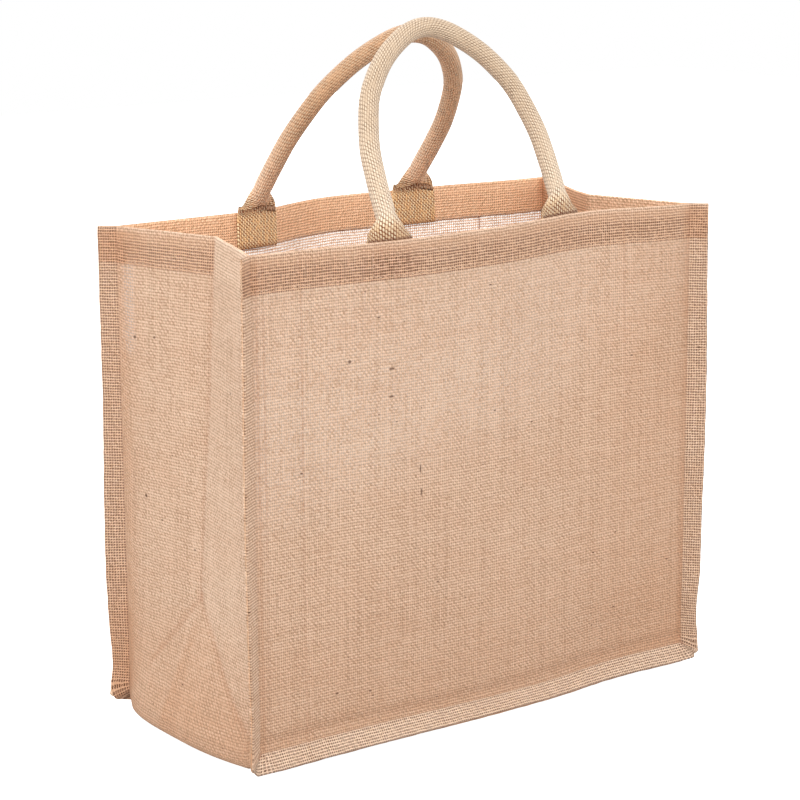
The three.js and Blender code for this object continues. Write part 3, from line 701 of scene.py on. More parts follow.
def spline(points, steps):
    """Uniform Catmull-Rom curve through 2-D points, each stretch in the given number of steps."""
    padded = np.concatenate([points[:1], points, points[-1:]])
    p0, p1, p2, p3 = (padded[k:len(points) - 1 + k, None, :] for k in range(4))
    t = np.linspace(0, 1, steps, endpoint=False)[None, :, None]
    v0, v1 = (p2 - p0) / 2, (p3 - p1) / 2
    curve = (2 * p1 - 2 * p2 + v0 + v1) * t**3 + (3 * p2 - 3 * p1 - 2 * v0 - v1) * t**2 + v0 * t + p1
    return np.concatenate([curve.reshape(-1, 2), points[-1:]])


def handle_line(handle):
    """The line that a handle follows, densely: flat end, leg, arch, leg, flat end."""
    leg = [(1, -TAB_DEPTH * (1 - t)) for t in (0, 0.33, 0.66, 1)]
    leg += [(out, rise * handle["rise"]) for out, rise in ARCH]
    left = [(-x * handle["half_span"], y) for x, y in leg]
    right = [(x * handle["half_span"], y) for x, y in leg]
    flat = spline(np.array(left + [(0, handle["rise"])] + right[::-1], float), 60)
    up = np.maximum(flat[:, 1], 0)
    leaning = np.where(up < LEAN_REACH, up**2 / (2 * LEAN_REACH), up - LEAN_REACH / 2)
    side = handle["side"]
    tab_y = side * (HALF_DEPTH - CLOTH / 2 - HEM_FOLD - WEBBING / 2 + TAB_PRESSED)
    y = tab_y - side * np.tan(np.radians(handle["lean"])) * leaning
    aside = handle["step"] * smoothstep(up, 0, LEAN_REACH)
    aside = aside + handle["sway"] * (up / handle["rise"]) ** SWAY_POWER
    return vectors(flat[:, 0] + handle["middle"] + aside, y, RIM_HEIGHT + flat[:, 1])


def lengths(line):
    """How far along a line of points each of them lies."""
    return np.concatenate([[0], np.cumsum(np.linalg.norm(np.diff(line, axis=0), axis=1))])


def at_length(values, length, places):
    """The values of a line's points, read between them at places along it."""
    return np.stack([np.interp(places, length, values[:, k]) for k in range(3)], -1)


def unit(values):
    return values / np.linalg.norm(values, axis=-1, keepdims=True)


def square_to(values, axis):
    """Unit vectors, square to an axis."""
    return unit(values - axis * np.sum(values * axis, axis=-1, keepdims=True))


def handle_marks(handle, from_end, q, along):
    """The marks of a handle, as pairs for its two faces: see webbing_material for what each does."""
    tab = 1 - smoothstep(from_end, -4, 4)
    # Painted shadow under the lip of the fold, and along the rim where the webbing goes behind it
    foot = bump(from_end, 1, 6) * (1 - smoothstep(q, 0.7, 0.95))
    rim_shadow = np.maximum(1 - smoothstep(from_end, 0.3, 1.5), 0.55 * bump(from_end, 3, 11))
    rim_shadow = rim_shadow * (1 - smoothstep(q, 0.8, 0.95))
    cut = 1 - smoothstep(from_end, -TAB_DEPTH + 1, -TAB_DEPTH + 5)
    near = 0.7 * bump(from_end, 4, 14)
    # Painted shade: darkens the upper part of a handle, by the handle's shade shares
    high = smoothstep(from_end, 0, 110) * np.interp(along, (0.35, 0.65), handle["shade"])
    return {
        "gaps": (0.6 + 0.5 * tab + near, 0.85 + 0.6 * tab),
        "tab": (np.maximum(tab, near), tab),
        "foot": (rim_shadow, 0.6 * foot),
        "cut": (cut, cut),
        "high": (high, high),
    }


def handle_piece(name, handle, colours):
    """Webbing, flat at its sewn ends and rolled into a tube between them, its slit towards the bag's inside.

    Across the webbing a section is an arc of an ellipse, x = width * sin and y = depth * cos of an
    angle that goes to a quarter turn at the rim and to TUBE_WRAP in the tube. The width narrows
    evenly from the webbing's to the tube's, and the depth grows from a flat fold to the tube's.
    What is folded over lags behind along the handle, as it does past a slanting fold.
    """
    line = handle_line(handle)
    length = lengths(line)
    total = length[-1]
    rolled = TAB_DEPTH + ROLL_LENGTH
    low = TAB_DEPTH - FOLD_BELOW
    places = spaced([0, low, rolled, total - rolled, total - low, total], [2, 0.7, 1.8, 0.7, 2])
    tangent = unit(at_length(line, length, places + 0.5) - at_length(line, length, places - 0.5))
    side = handle["side"]
    from_end = np.minimum(places, total - places) - TAB_DEPTH
    leaning = smoothstep(from_end, 0, ROLL_LENGTH)
    lean = np.radians(handle["lean"])
    leant = np.array([0, side * np.cos(lean), np.sin(lean)])
    out = square_to(lerp(np.array([0, side, 0.0]), leant, leaning[:, None]), tangent)
    sideways = np.cross(tangent, out)
    half = WEBBING_WIDTH / 2
    round_radius = TUBE_RADIUS - WEBBING / 2
    quarter = np.pi / 2 * smoothstep(from_end, -FOLD_BELOW, 0)
    wrap = quarter + (np.radians(TUBE_WRAP) - np.pi / 2) * smoothstep(from_end, -1, FOLD_HEIGHT)
    wrap = np.maximum(wrap, 1e-3)[:, None]
    width = half - (half - round_radius) * soft_ramp(from_end, 2) / FOLD_HEIGHT
    width = np.maximum(width, round_radius)[:, None]
    depth = handle["fold"] / 2 * smoothstep(from_end, -1, 7)
    depth = lerp(depth, round_radius, smoothstep(from_end, 5, TUBE_HEIGHT))[:, None]
    crest = leaning * TUBE_RADIUS + (1 - leaning) * (WEBBING / 2) - WEBBING / 2
    q = np.linspace(-1, 1, WEBBING_STEPS + 1)
    angle = wrap * q
    across = width / np.sin(np.minimum(wrap, np.pi / 2)) * np.sin(angle)
    over = crest[:, None] + depth * (np.cos(angle) - 1)
    folded = np.maximum(half * np.abs(q) - width, 0) * smoothstep(from_end, -1, 2)[:, None]
    lag = FOLD_LAG * folded * np.cos(np.pi * places / total)[:, None]
    middle = at_length(line, length, places)[:, None] + sideways[:, None] * across[..., None]
    middle = middle + out[:, None] * over[..., None] - tangent[:, None] * lag[..., None]
    steep = unit(np.stack([depth * np.sin(angle), width * np.cos(angle) + 0.02], -1))
    normals = sideways[:, None] * steep[..., :1] + out[:, None] * steep[..., 1:]
    loss = 1 - HANDLE_BOW_LOSS * np.clip((middle[..., 2] - RIM_HEIGHT) / handle["rise"], 0, 1)
    dy, dz = panel_shift(side, middle[..., 0], np.minimum(middle[..., 2], RIM_HEIGHT))
    middle = middle + vectors(0 * dy, dy * loss, dz * loss)
    flat = np.stack(np.meshgrid(q * half, places), -1)
    pressed = bump(from_end, 0, 6)[:, None] * smoothstep(np.abs(q), 0.75, 1)
    marks = handle_marks(handle, from_end[:, None], np.abs(q), places[:, None] / total)
    obj = sheet_object(name, middle, normals, WEBBING * (1 - FOLD_PRESSED * pressed), flat, marks)
    obj.data.materials.append(webbing_material("webbing_" + name, colours, handle["own_shade"], -side))
    return obj, total


def stitch_rows(points, out):
    """Stitches along a line of points: where each lies, which way it runs and which way is off the cloth."""
    length = lengths(points)
    places = np.arange(STITCH["pitch"] / 2, length[-1], STITCH["pitch"])
    along = unit(at_length(points, length, places + 0.5) - at_length(points, length, places - 0.5))
    return at_length(points, length, places), along, square_to(at_length(out, length, places), along)


def panel_line(side, a, b):
    """Points on the outer face of a panel, across at a and at a height b above the bottom seam."""
    surface = lambda p, q: panel_surface(side, p, q)
    normal = normals_of(surface, a, b) * -side
    outer = (CLOTH + SEWN_GAP) / 2 + panel_relief(side, a, b) + CLOTH / 2
    return surface(a, b) + normal * outer[..., None], normal


def hem_line(side, height):
    """A line across the face of a panel, at a height above the bottom seam."""
    a = np.linspace(-HALF_WIDTH + 3, HALF_WIDTH - 3, 240)
    return panel_line(side, a, np.full_like(a, height))


def gusset_line(end, height):
    """A line across the outside of a gusset wall, at a height above the bottom seam."""
    c = np.linspace(-HALF_DEPTH + 3, HALF_DEPTH - 3, 120)
    d = np.full_like(c, HEM_TOP - height if end < 0 else GUSSET_LENGTH - HEM_TOP + height)
    normal = normals_of(gusset_surface, c, d)
    normal = normal * np.sign(normal[len(c) // 2, 0]) * end
    outer = CLOTH / 2 + gusset_relief(c, d, 0 * c + height, end < 0)
    return gusset_surface(c, d) + normal * outer[..., None], normal


def tab_lines(handle):
    """Four lines round each sewn end of a handle, on the outside of the panel."""
    reach = WEBBING_WIDTH / 2 - 3
    top, low = HEM_TOP - 4, HEM_TOP - TAB_DEPTH + 3
    t = np.linspace(0, 4, 160)
    b = np.interp(t, range(5), [low, low, top, top, low])
    for end in (-1, 1):
        x0 = handle["middle"] + end * handle["half_span"]
        a = np.interp(t, range(5), [x0 - reach, x0 + reach, x0 + reach, x0 - reach, x0 - reach])
        yield panel_line(handle["side"], a, b)


def stitch_piece(name, colours):
    """Lock stitches as one mesh: each is half an ellipsoid, a grid of angles along and around it.

    The angle along it goes nearly to a quarter turn, and a small flat face closes each end.
    """
    lines = [hem_line(side, HEM_LOW + STITCH_RISE) for side in (-1, 1)]
    lines += [gusset_line(end, HEM_LOW + STITCH_RISE) for end in (-1, 1)]
    for handle in HANDLES.values():
        lines += tab_lines(handle)
    rows = [stitch_rows(points, out) for points, out in lines]
    place, along, off = (np.concatenate([row[k] for row in rows]) for k in range(3))
    aside = np.cross(along, off)
    u, v = np.meshgrid(np.linspace(-STITCH["end"], STITCH["end"], 7), np.linspace(0, np.pi, 6), indexing="ij")
    shape = [np.sin(u) * STITCH["length"] / 2, np.cos(u) * np.cos(v) * STITCH["width"] / 2,
             np.cos(u) * np.sin(v) * STITCH["height"]]
    parts = [axis[:, None, None] * size[None, ..., None] for axis, size in zip((along, aside, off), shape)]
    points = (place[:, None, None] + sum(parts)).reshape(-1, 3)
    closed = np.arange(u.size).reshape(u.shape)
    ring = np.concatenate([closed, closed[:, :1]], 1)
    quads = np.stack([ring[:-1, :-1], ring[:-1, 1:], ring[1:, 1:], ring[1:, :-1]], -1).reshape(-1, 4)
    first, last = closed[0], closed[-1]
    ends = [first[[0, 5, 4, 3]], first[[0, 3, 2, 1]], last[[0, 1, 2, 3]], last[[0, 3, 4, 5]]]
    quads = np.concatenate([quads, ends])
    quads = (quads[None] + u.size * np.arange(len(place))[:, None, None]).reshape(-1, 4)
    obj = mesh_object(name, points, quads, points[:, :2])
    obj.data.materials.append(thread_material(name, colours))
    return obj


# Materials

WEAVE = {"slant": 0.42, "rise": 0.56, "weft": 0.85, "warp": 0.6}  # of the ridges: see plain_weave
HOLES = {  # where their edges lie from the middle of a cell, and what moves them, in cells
    "across": 0.26, "along": 0.28, "spread": 0.22, "slip": 0.2, "doubled": 0.07,
    "sheer": 0.7, "sheer_across": 0.05, "sheer_along": 0.07, "soft_across": 0.08, "soft_along": 0.06,
}
STREAKS = {"warp": 60.0, "weft": 45.0, "long_warp": 7.0, "long_weft": 4.0}  # changes of tone a metre
YARN_STEP = 7.31  # how far apart in their noise two neighbouring yarns are
THICK_YARNS = 0.965  # one upright yarn in thirty or so is a thick one
WOBBLE = {"cloth": 0.0013, "webbing": 0.0012}  # how far yarns stray, in metres
FLOAT = {"width": 0.0015, "length": 0.0029, "slant": 0.3}  # one float of the webbing's twill, in metres
# Painted shade: the upper part of a handle is made darker and warmer than its feet
HIGH_SHADE_TINT = (0.62, 0.54, 0.44, 1)  # the upper part of a handle looks darker and warmer than its feet
# Painted light: the inside of the cloth is made lighter, for the light that shines through it into the bag
INNER_LIGHT_TINT = (1.62, 1.64, 1.58, 1)  # the inside of the cloth looks lighter and warmer than the outside
LIGHT_BEHIND = (0.95, 0.93, 0.9, 1)  # what shows through the holes of sheer cloth
UNTINTED = (1, 1, 1, 1)
# ridge and pale give painted highlights; low, the warm tone and foot painted shade; lit and light painted
# light
PAINT = {  # the largest share of each tone in the colours of the cloth and the webbing
    "blotch": 0.22, "warm_shade": 0.7, "tone": 0.3, "ridge": 0.5, "pale": 0.6, "low": 0.5, "warp": 0.35,
    "cell": 0.5, "fibre": 1.7, "long_warp": 0.7, "long_weft": 0.3, "seam": 0.6, "lit": 0.35,
    "light": 0.9, "slub": 0.12, "slub_lit": 0.45, "speck": 0.75, "cut": 0.4, "foot": 0.75,
}
TRANSLUCENT = 0.2  # share of light that goes through single cloth
OPEN = 0.7  # how open the holes of sheer cloth are


class Signal:
    """What a node gives out. Its sums, differences, products and quotients are Math nodes."""

    def __init__(self, nodes, socket):
        self.nodes = nodes
        self.socket = socket

    def __add__(self, other):
        return self.nodes.math("ADD", self, other)

    def __sub__(self, other):
        return self.nodes.math("SUBTRACT", self, other)

    def __rsub__(self, other):
        return self.nodes.math("SUBTRACT", other, self)

    def __mul__(self, other):
        return self.nodes.math("MULTIPLY", self, other)

    def __truediv__(self, other):
        return self.nodes.math("DIVIDE", self, other)


class Nodes:
    """Short forms for the nodes of one material."""

    def __init__(self, name):
        self.material = bpy.data.materials.new(name)
        self.material.use_nodes = True
        self.tree = self.material.node_tree
        self.tree.nodes.clear()

    def feed(self, socket, value):
        if isinstance(value, Signal):
            self.tree.links.new(value.socket, socket)
        else:
            socket.default_value = value

    def node(self, kind, settings=None, **inputs):
        node = self.tree.nodes.new(kind)
        for key, value in (settings or {}).items():
            setattr(node, key, value)
        for key, value in inputs.items():
            self.feed(node.inputs[key.replace("_", " ")], value)
        return node

    def out(self, kind, output=0, settings=None, **inputs):
        return Signal(self, self.node(kind, settings, **inputs).outputs[output])

    def filled(self, kind, values, settings=None, output=0):
        """A node whose first sockets take the values in their order."""
        node = self.node(kind, settings)
        for socket, value in zip(node.inputs, values):
            self.feed(socket, value)
        return Signal(self, node.outputs[output])

    def math(self, operation, *values):
        return self.filled("ShaderNodeMath", values, {"operation": operation})

    def vector(self, operation, *values, output=0):
        return self.filled("ShaderNodeVectorMath", values, {"operation": operation}, output)

    def mark(self, name):
        return self.out("ShaderNodeAttribute", "Fac", {"attribute_name": name})

    def mix(self, share, first, second):
        node = self.node("ShaderNodeMix", {"data_type": "RGBA", "clamp_factor": True})
        for place, value in ((0, share), (6, first), (7, second)):
            self.feed(node.inputs[place], value)
        return Signal(self, node.outputs[2])

    def tint(self, colour, share, tone):
        return self.vector("MULTIPLY", colour, self.mix(share, UNTINTED, tone))

    def ramp(self, value, low, high):
        limits = {"From_Min": low, "From_Max": high}
        return self.out("ShaderNodeMapRange", 0, {"interpolation_type": "SMOOTHSTEP"}, Value=value, **limits)

    def place(self, x, y):
        return self.out("ShaderNodeCombineXYZ", X=x, Y=y)

    def stretched(self, place, x, y):
        return self.out("ShaderNodeMapping", Vector=place, Scale=(x, y, 1))

    def noise(self, place, scale, detail=2.0):
        return self.out("ShaderNodeTexNoise", "Fac", Vector=place, Scale=scale, Detail=detail)

    def chance(self, x, y):
        """A random value for each whole x and y."""
        settings = {"noise_dimensions": "2D"}
        return self.out("ShaderNodeTexWhiteNoise", "Value", settings, Vector=self.place(x, y))

    def wave(self, value):
        return self.math("COSINE", value * np.pi)

    def within(self, value):
        """How far a value lies from the middle between two whole numbers."""
        return self.math("FRACT", value) - 0.5

    def bump(self, height, strength, distance):
        return self.out("ShaderNodeBump", Height=height, Strength=strength, Distance=distance)

    def finish(self, surface):
        self.node("ShaderNodeOutputMaterial", Surface=surface)
        return self.material


def cloth_places(n, wobble):
    """The place on the cut, and its two parts moved a little by noise so that no yarn runs quite straight."""
    uv = n.out("ShaderNodeUVMap", settings={"uv_map": "Cloth"})
    noise = n.out("ShaderNodeTexNoise", "Color", Vector=uv, Scale=70.0, Detail=2.0)
    shift = n.vector("MULTIPLY_ADD", noise, (wobble, wobble, 0), (-wobble / 2, -wobble / 2, 0))
    parts = n.node("ShaderNodeSeparateXYZ", Vector=n.vector("ADD", uv, shift))
    return uv, Signal(n, parts.outputs[0]), Signal(n, parts.outputs[1])


def streaks(n, along, across, stretch):
    """Noise that keeps its value along a yarn for a while and changes from yarn to yarn."""
    return n.noise(n.place(along * stretch, across * YARN_STEP), 1.0, 1.0)


def plain_weave(n, pitch_across, pitch_along, sheer, doubled):
    """Plain weave: each yarn is a round ridge that rises and falls by a cosine from cell to cell.

    The higher of weft and warp shows. The weft's rise is slanted, because its yarn is twisted.
    The holes lie at the corners of the cells, past edges that differ by chance from hole to hole.
    Gives the place on the cut, the height, the share of weft, the holes, random values for each
    hole, each cell and along each yarn, and the few thick yarns.
    """
    uv, x_place, y_place = cloth_places(n, WOBBLE["cloth"])
    x, y = x_place / pitch_across, y_place / pitch_along
    column, row = n.math("FLOOR", x), n.math("FLOOR", y)
    fx, fy = n.within(x), n.within(y)
    over = n.wave(fy * WEAVE["slant"] + (x - 0.5 + row))
    under = n.wave(y - 0.5 + column)
    weft = over * WEAVE["rise"] + n.wave(fy) * WEAVE["weft"]
    warp = under * -WEAVE["rise"] + n.wave(fx) * WEAVE["warp"]
    weft_share = n.ramp(weft - warp, -0.2, 0.2)
    chance = n.chance(n.math("ROUND", x), n.math("ROUND", y))
    shift = (chance - 0.5) * HOLES["spread"] * (1.0 - sheer * HOLES["sheer"]) - doubled * HOLES["doubled"]
    edge_x = HOLES["across"] - sheer * HOLES["sheer_across"] + shift
    edge_y = HOLES["along"] - sheer * HOLES["sheer_along"] + shift
    past_x = n.math("ABSOLUTE", fy * HOLES["slip"] + fx) - edge_x
    past_y = n.math("ABSOLUTE", fy) - edge_y
    open_x = n.ramp(past_x, -HOLES["soft_across"], HOLES["soft_across"])
    open_y = n.ramp(past_y, -HOLES["soft_along"], HOLES["soft_along"])
    tone_x = streaks(n, y_place, column, STREAKS["warp"])
    tone_y = streaks(n, x_place, row, STREAKS["weft"])
    upright = (streaks(n, y_place, column, STREAKS["long_warp"]) - 0.5) * PAINT["long_warp"]
    level = (streaks(n, x_place, row + 0.37, STREAKS["long_weft"]) - 0.5) * PAINT["long_weft"]
    thick = n.out("ShaderNodeTexWhiteNoise", "Value", {"noise_dimensions": "1D"}, W=column)
    thick = n.math("GREATER_THAN", thick, THICK_YARNS)
    return {
        "uv": uv,
        "height": n.math("MAXIMUM", weft, warp),
        "weft": weft_share,
        "holes": open_x * open_y,
        "chance": chance,
        "spread": n.chance(column, row),
        "tone": tone_y * weft_share + tone_x * (1.0 - weft_share),
        "slub": thick * n.ramp(n.math("ABSOLUTE", fx), 0.45, 0.3),
        "long": upright + level,
    }


def specks(n, uv, placed):
    """Dark specks: small ones where a noise is high, and the placed ones as soft ellipses."""
    speck = n.ramp(n.noise(n.stretched(uv, 0.45, 1.0), 420.0, 0.0), 0.85, 0.88)
    for across, along, half_width, half_length in placed:
        off = n.vector("SUBTRACT", uv, (across * MM, along * MM, 0))
        scaled = n.vector("MULTIPLY", off, (1 / (half_width * MM), 1 / (half_length * MM), 0))
        speck = n.math("MAXIMUM", speck, n.ramp(n.vector("LENGTH", scaled, output=1), 1.2, 0.5))
    return speck


def cloth_material(name, colours):
    """Jute: ridges of weft and warp, gaps that are dark where the cloth lies double, streaks and specks.

    The crowns of the yarns are painted lighter and their hollows darker, as highlight and shade.
    Marks: gaps, how dark the holes show, a painted shadow; doubled, where they are wider and less light
    comes through the cloth; inner_light, the inside painted lighter for light through the cloth; seam,
    warm_shade and pale, those colours, the last two as painted shade and painted highlight; sheer, where
    the holes are open; lit, the light behind them; edge, a raw edge.
    """
    n = Nodes(name)
    sheer, doubled, gaps = n.mark("sheer"), n.mark("doubled"), n.mark("gaps")
    edge, warm_shade, lit = n.mark("edge"), n.mark("warm_shade"), n.mark("lit")
    weave = plain_weave(n, colours.pitch_across, colours.pitch_along, sheer, doubled)
    uv, height, holes, chance = (weave[key] for key in ("uv", "height", "holes", "chance"))
    blotch = n.noise(n.stretched(uv, 0.6, 1.4), 24.0, 6.0)
    colour = n.mix(n.ramp(blotch, 0.35, 0.68) * PAINT["blotch"], colours.jute, colours.jute_warm)
    # Painted warm shade where it is marked
    colour = n.mix(warm_shade * ((1.0 - edge) * PAINT["warm_shade"]), colour, colours.jute_warm)
    ridges = gaps * -0.75 + 1.0
    # Painted highlight on the crowns of the yarns, besides yarns that are lighter by chance
    bright = n.ramp(weave["tone"], 0.35, 0.7) * PAINT["tone"]
    bright = bright + n.ramp(height, 0.75, 1.35) * PAINT["ridge"] * ridges
    colour = n.mix(bright * (warm_shade * -0.45 + 1.0), colour, colours.jute_pale)
    # Painted highlight and light where pale is marked
    colour = n.mix(n.mark("pale") * PAINT["pale"], colour, colours.jute_pale)
    # Painted shade in the weave's hollows and on the warp, with random tone of cells, fibres and yarns
    low = n.ramp(height, 0.95, 0.25) * PAINT["low"] + (1.0 - weave["weft"]) * PAINT["warp"]
    random = (weave["spread"] - 0.5) * PAINT["cell"] + (n.noise(uv, 700.0) - 0.5) * PAINT["fibre"]
    random = weave["long"] + random
    shade = n.math("MAXIMUM", low * ridges + random, edge * n.ramp(chance, 0.3, 0.7))
    colour = n.mix(shade, colour, colours.jute_shade)
    colour = n.mix(n.mark("seam") * PAINT["seam"], colour, colours.jute_seam)
    # Painted shadow seen through the holes
    colour = n.mix(holes * (chance * 0.7 + 0.6) * gaps, colour, colours.jute_gap)
    colour = n.mix(lit * PAINT["lit"], colour, colours.jute_sheer)
    colour = n.mix(holes * (lit * PAINT["light"]), colour, LIGHT_BEHIND)
    colour = n.mix(weave["slub"] * (lit * PAINT["slub_lit"] + PAINT["slub"]), colour, colours.jute_seam)
    colour = n.mix(specks(n, uv, SPECKS[name]) * PAINT["speck"], colour, colours.jute_gap)
    # Painted light: the inside of the cloth is tinted lighter
    colour = n.tint(colour, n.mark("inner_light"), INNER_LIGHT_TINT)
    bump = n.bump(height, 0.8, 0.0005)
    sheen = {"Sheen_Weight": 0.03, "Sheen_Roughness": 0.6}
    shader = n.out("ShaderNodeBsdfPrincipled", Base_Color=colour, Roughness=0.9, Specular_IOR_Level=0.12,
                   Normal=bump, **sheen)
    light = n.out("ShaderNodeBsdfTranslucent", Color=colour, Normal=bump)
    both = n.filled("ShaderNodeMixShader", (doubled * -0.12 + TRANSLUCENT, shader, light))
    open_share = (holes - weave["slub"]) * (sheer * OPEN)
    return n.finish(n.filled("ShaderNodeMixShader", (open_share, both, n.out("ShaderNodeBsdfTransparent"))))


def webbing_material(name, colours, own_shade, lean):
    """Webbing: columns of slanted floats, each half a float on from the last, with dark dashes between them.

    The crowns of the floats are painted lighter, and the dashes are painted shade in the hollows.
    Marks: gaps, how dark the dashes show; tab, the flat ends, in a warmer, lighter copy of the colours
    as painted light; foot, painted shadow in the fold at the rim; cut, the raw ends; high, painted shade
    on the upper part of a handle.
    """
    n = Nodes(name)
    x_place, y_place = cloth_places(n, WOBBLE["webbing"])[1:]
    tab = n.mark("tab")
    x = x_place / FLOAT["width"]
    column = n.math("FLOOR", x)
    y = y_place / FLOAT["length"] + column * 0.5
    fy = n.within(y)
    fx = fy * (FLOAT["slant"] * lean) + n.within(x)
    height = n.wave(fx) * n.math("POWER", n.wave(fy), 0.5)
    chance = n.chance(column, n.math("FLOOR", y))
    tone = streaks(n, y_place, column, 40.0) * 0.7 + chance * 0.3
    # Painted shade: the back handle takes the colours of the webbing in its own shade
    base = n.mix(tab, n.mix(own_shade, colours.webbing, colours.webbing_in_shade), colours.webbing_tab)
    # Painted light: the flat ends take a warmer, lighter copy of the webbing's colours
    pale = n.mix(tab, n.mix(own_shade, colours.webbing_pale, colours.webbing), colours.webbing_tab_pale)
    # Painted highlight on the crowns of the floats
    colour = n.mix(n.ramp(tone, 0.3, 0.65) * n.ramp(height, 0.35, 0.95), base, pale)
    colour = n.mix(n.mark("cut") * PAINT["cut"], colour, colours.jute_seam)
    # Painted shade in the hollows between the floats
    hollow = n.ramp(height, 0.7, 0.25) * n.mark("gaps") * (chance * 0.9 + 0.3)
    # The flat ends, and a handle in painted shade, take the lighter gap colour
    gap = n.mix(n.math("MAXIMUM", tab, own_shade), colours.webbing_gap, colours.webbing_tab_gap)
    colour = n.mix(hollow, colour, gap)
    # Painted shadow in the fold at the rim and along the rim
    colour = n.mix(n.mark("foot") * PAINT["foot"], colour, colours.webbing_foot_shade)
    # Painted shade on the upper part of a handle
    colour = n.tint(colour, n.mark("high"), HIGH_SHADE_TINT)
    return n.finish(n.out("ShaderNodeBsdfPrincipled", Base_Color=colour, Roughness=0.82,
                          Specular_IOR_Level=0.25, Sheen_Weight=0.15, Normal=n.bump(height, 0.8, 0.0006)))


def thread_material(name, colours):
    """Sewing thread: pale jute colour with a fine twist."""
    n = Nodes(name)
    twist = n.noise(n.out("ShaderNodeTexCoord", "Object"), 900.0, 1.0)
    colour = n.mix(n.ramp(twist, 0.3, 0.7), colours.jute, colours.jute_shade)
    return n.finish(n.out("ShaderNodeBsdfPrincipled", Base_Color=colour, Roughness=0.75,
                          Normal=n.bump(twist, 0.4, 0.0002)))


# Stage

CAMERA = {"place": (-1.0481, -1.3921, 0.6185), "yaw": 36.679, "pitch": 12.782, "roll": -0.320, "lens": 106.6}
KEY = {"place": (-1.6, -1.6, 2.2), "target": (0, 0, 0.2), "colour": (1, 0.97, 0.93)}
RIM = {"place": (0.6, 1.9, 1.7), "target": (0, 0, 0.3), "colour": (1, 1, 1)}
LAMP_SIZE = 1.6
FLOOR_REACH = 4.0
FLOOR_LOW = 3e-4  # the floor lies this far below the ground, so that it doesn't flicker through the bottom
FLOOR_TONE = (0.7, 0.7, 0.7, 1)


def camera_matrix(place, yaw, pitch, roll):
    """Looks along a yaw from +Y to +X and down by the pitch, turned about that line by the roll."""
    yaw, pitch, roll = (np.radians(v) for v in (yaw, pitch, roll))
    forward = Vector((np.sin(yaw) * np.cos(pitch), np.cos(yaw) * np.cos(pitch), -np.sin(pitch)))
    right = Vector((np.cos(yaw), -np.sin(yaw), 0))
    up = right.cross(forward)
    across = right * np.cos(roll) + up * np.sin(roll)
    upward = up * np.cos(roll) - right * np.sin(roll)
    matrix = Matrix((across, upward, -forward)).transposed().to_4x4()
    matrix.translation = Vector(place)
    return matrix


def area_light(name, place, target, colour, power):
    lamp = bpy.data.lights.new(name, "AREA")
    lamp.shape = "DISK"
    lamp.size = LAMP_SIZE
    lamp.energy = power
    lamp.color = colour
    obj = bpy.data.objects.new(name, lamp)
    obj.location = place
    obj.rotation_euler = (Vector(target) - Vector(place)).to_track_quat("-Z", "Y").to_euler()
    bpy.context.scene.collection.objects.link(obj)


def white_surround(light):
    """A white world that lights with the given strength and looks plain white to the camera."""
    world = bpy.data.worlds.new("surround")
    world.use_nodes = True
    tree = world.node_tree
    background = tree.nodes["Background"]
    path = tree.nodes.new("ShaderNodeLightPath")
    strength = tree.nodes.new("ShaderNodeMix")
    strength.inputs[2].default_value = light
    strength.inputs[3].default_value = 1.0
    tree.links.new(path.outputs["Is Camera Ray"], strength.inputs[0])
    tree.links.new(strength.outputs[0], background.inputs["Strength"])
    background.inputs["Color"].default_value = UNTINTED
    return world


def floor_object(glow):
    """A pale floor that looks brighter to the camera than its own light makes it."""
    mesh = bpy.data.meshes.new("floor")
    corners = ((-1, -1), (1, -1), (1, 1), (-1, 1))
    mesh.from_pydata([(x * FLOOR_REACH, y * FLOOR_REACH, -FLOOR_LOW) for x, y in corners], [], [range(4)])
    floor = bpy.data.objects.new("floor", mesh)
    bpy.context.scene.collection.objects.link(floor)
    n = Nodes("floor")
    seen = n.out("ShaderNodeLightPath", "Is Camera Ray")
    glowing = {"Emission_Color": UNTINTED, "Emission_Strength": seen * glow}
    mesh.materials.append(n.finish(n.out("ShaderNodeBsdfPrincipled", Base_Color=FLOOR_TONE, Roughness=0.9,
                                         **glowing)))
    return floor


# Settings


def linear(red, green, blue):
    """A colour given as it looks on a screen, 0 to 255, as Blender's linear values."""
    values = np.array([red, green, blue]) / 255
    values = np.where(values <= 0.04045, values / 12.92, ((values + 0.055) / 1.055) ** 2.4)
    return (*[float(v) for v in values], 1.0)


def colour_setting(name, description, red, green, blue):
    return bpy.props.FloatVectorProperty(name=name, description=description, subtype="COLOR", size=4,
                                         min=0, max=1, default=linear(red, green, blue))


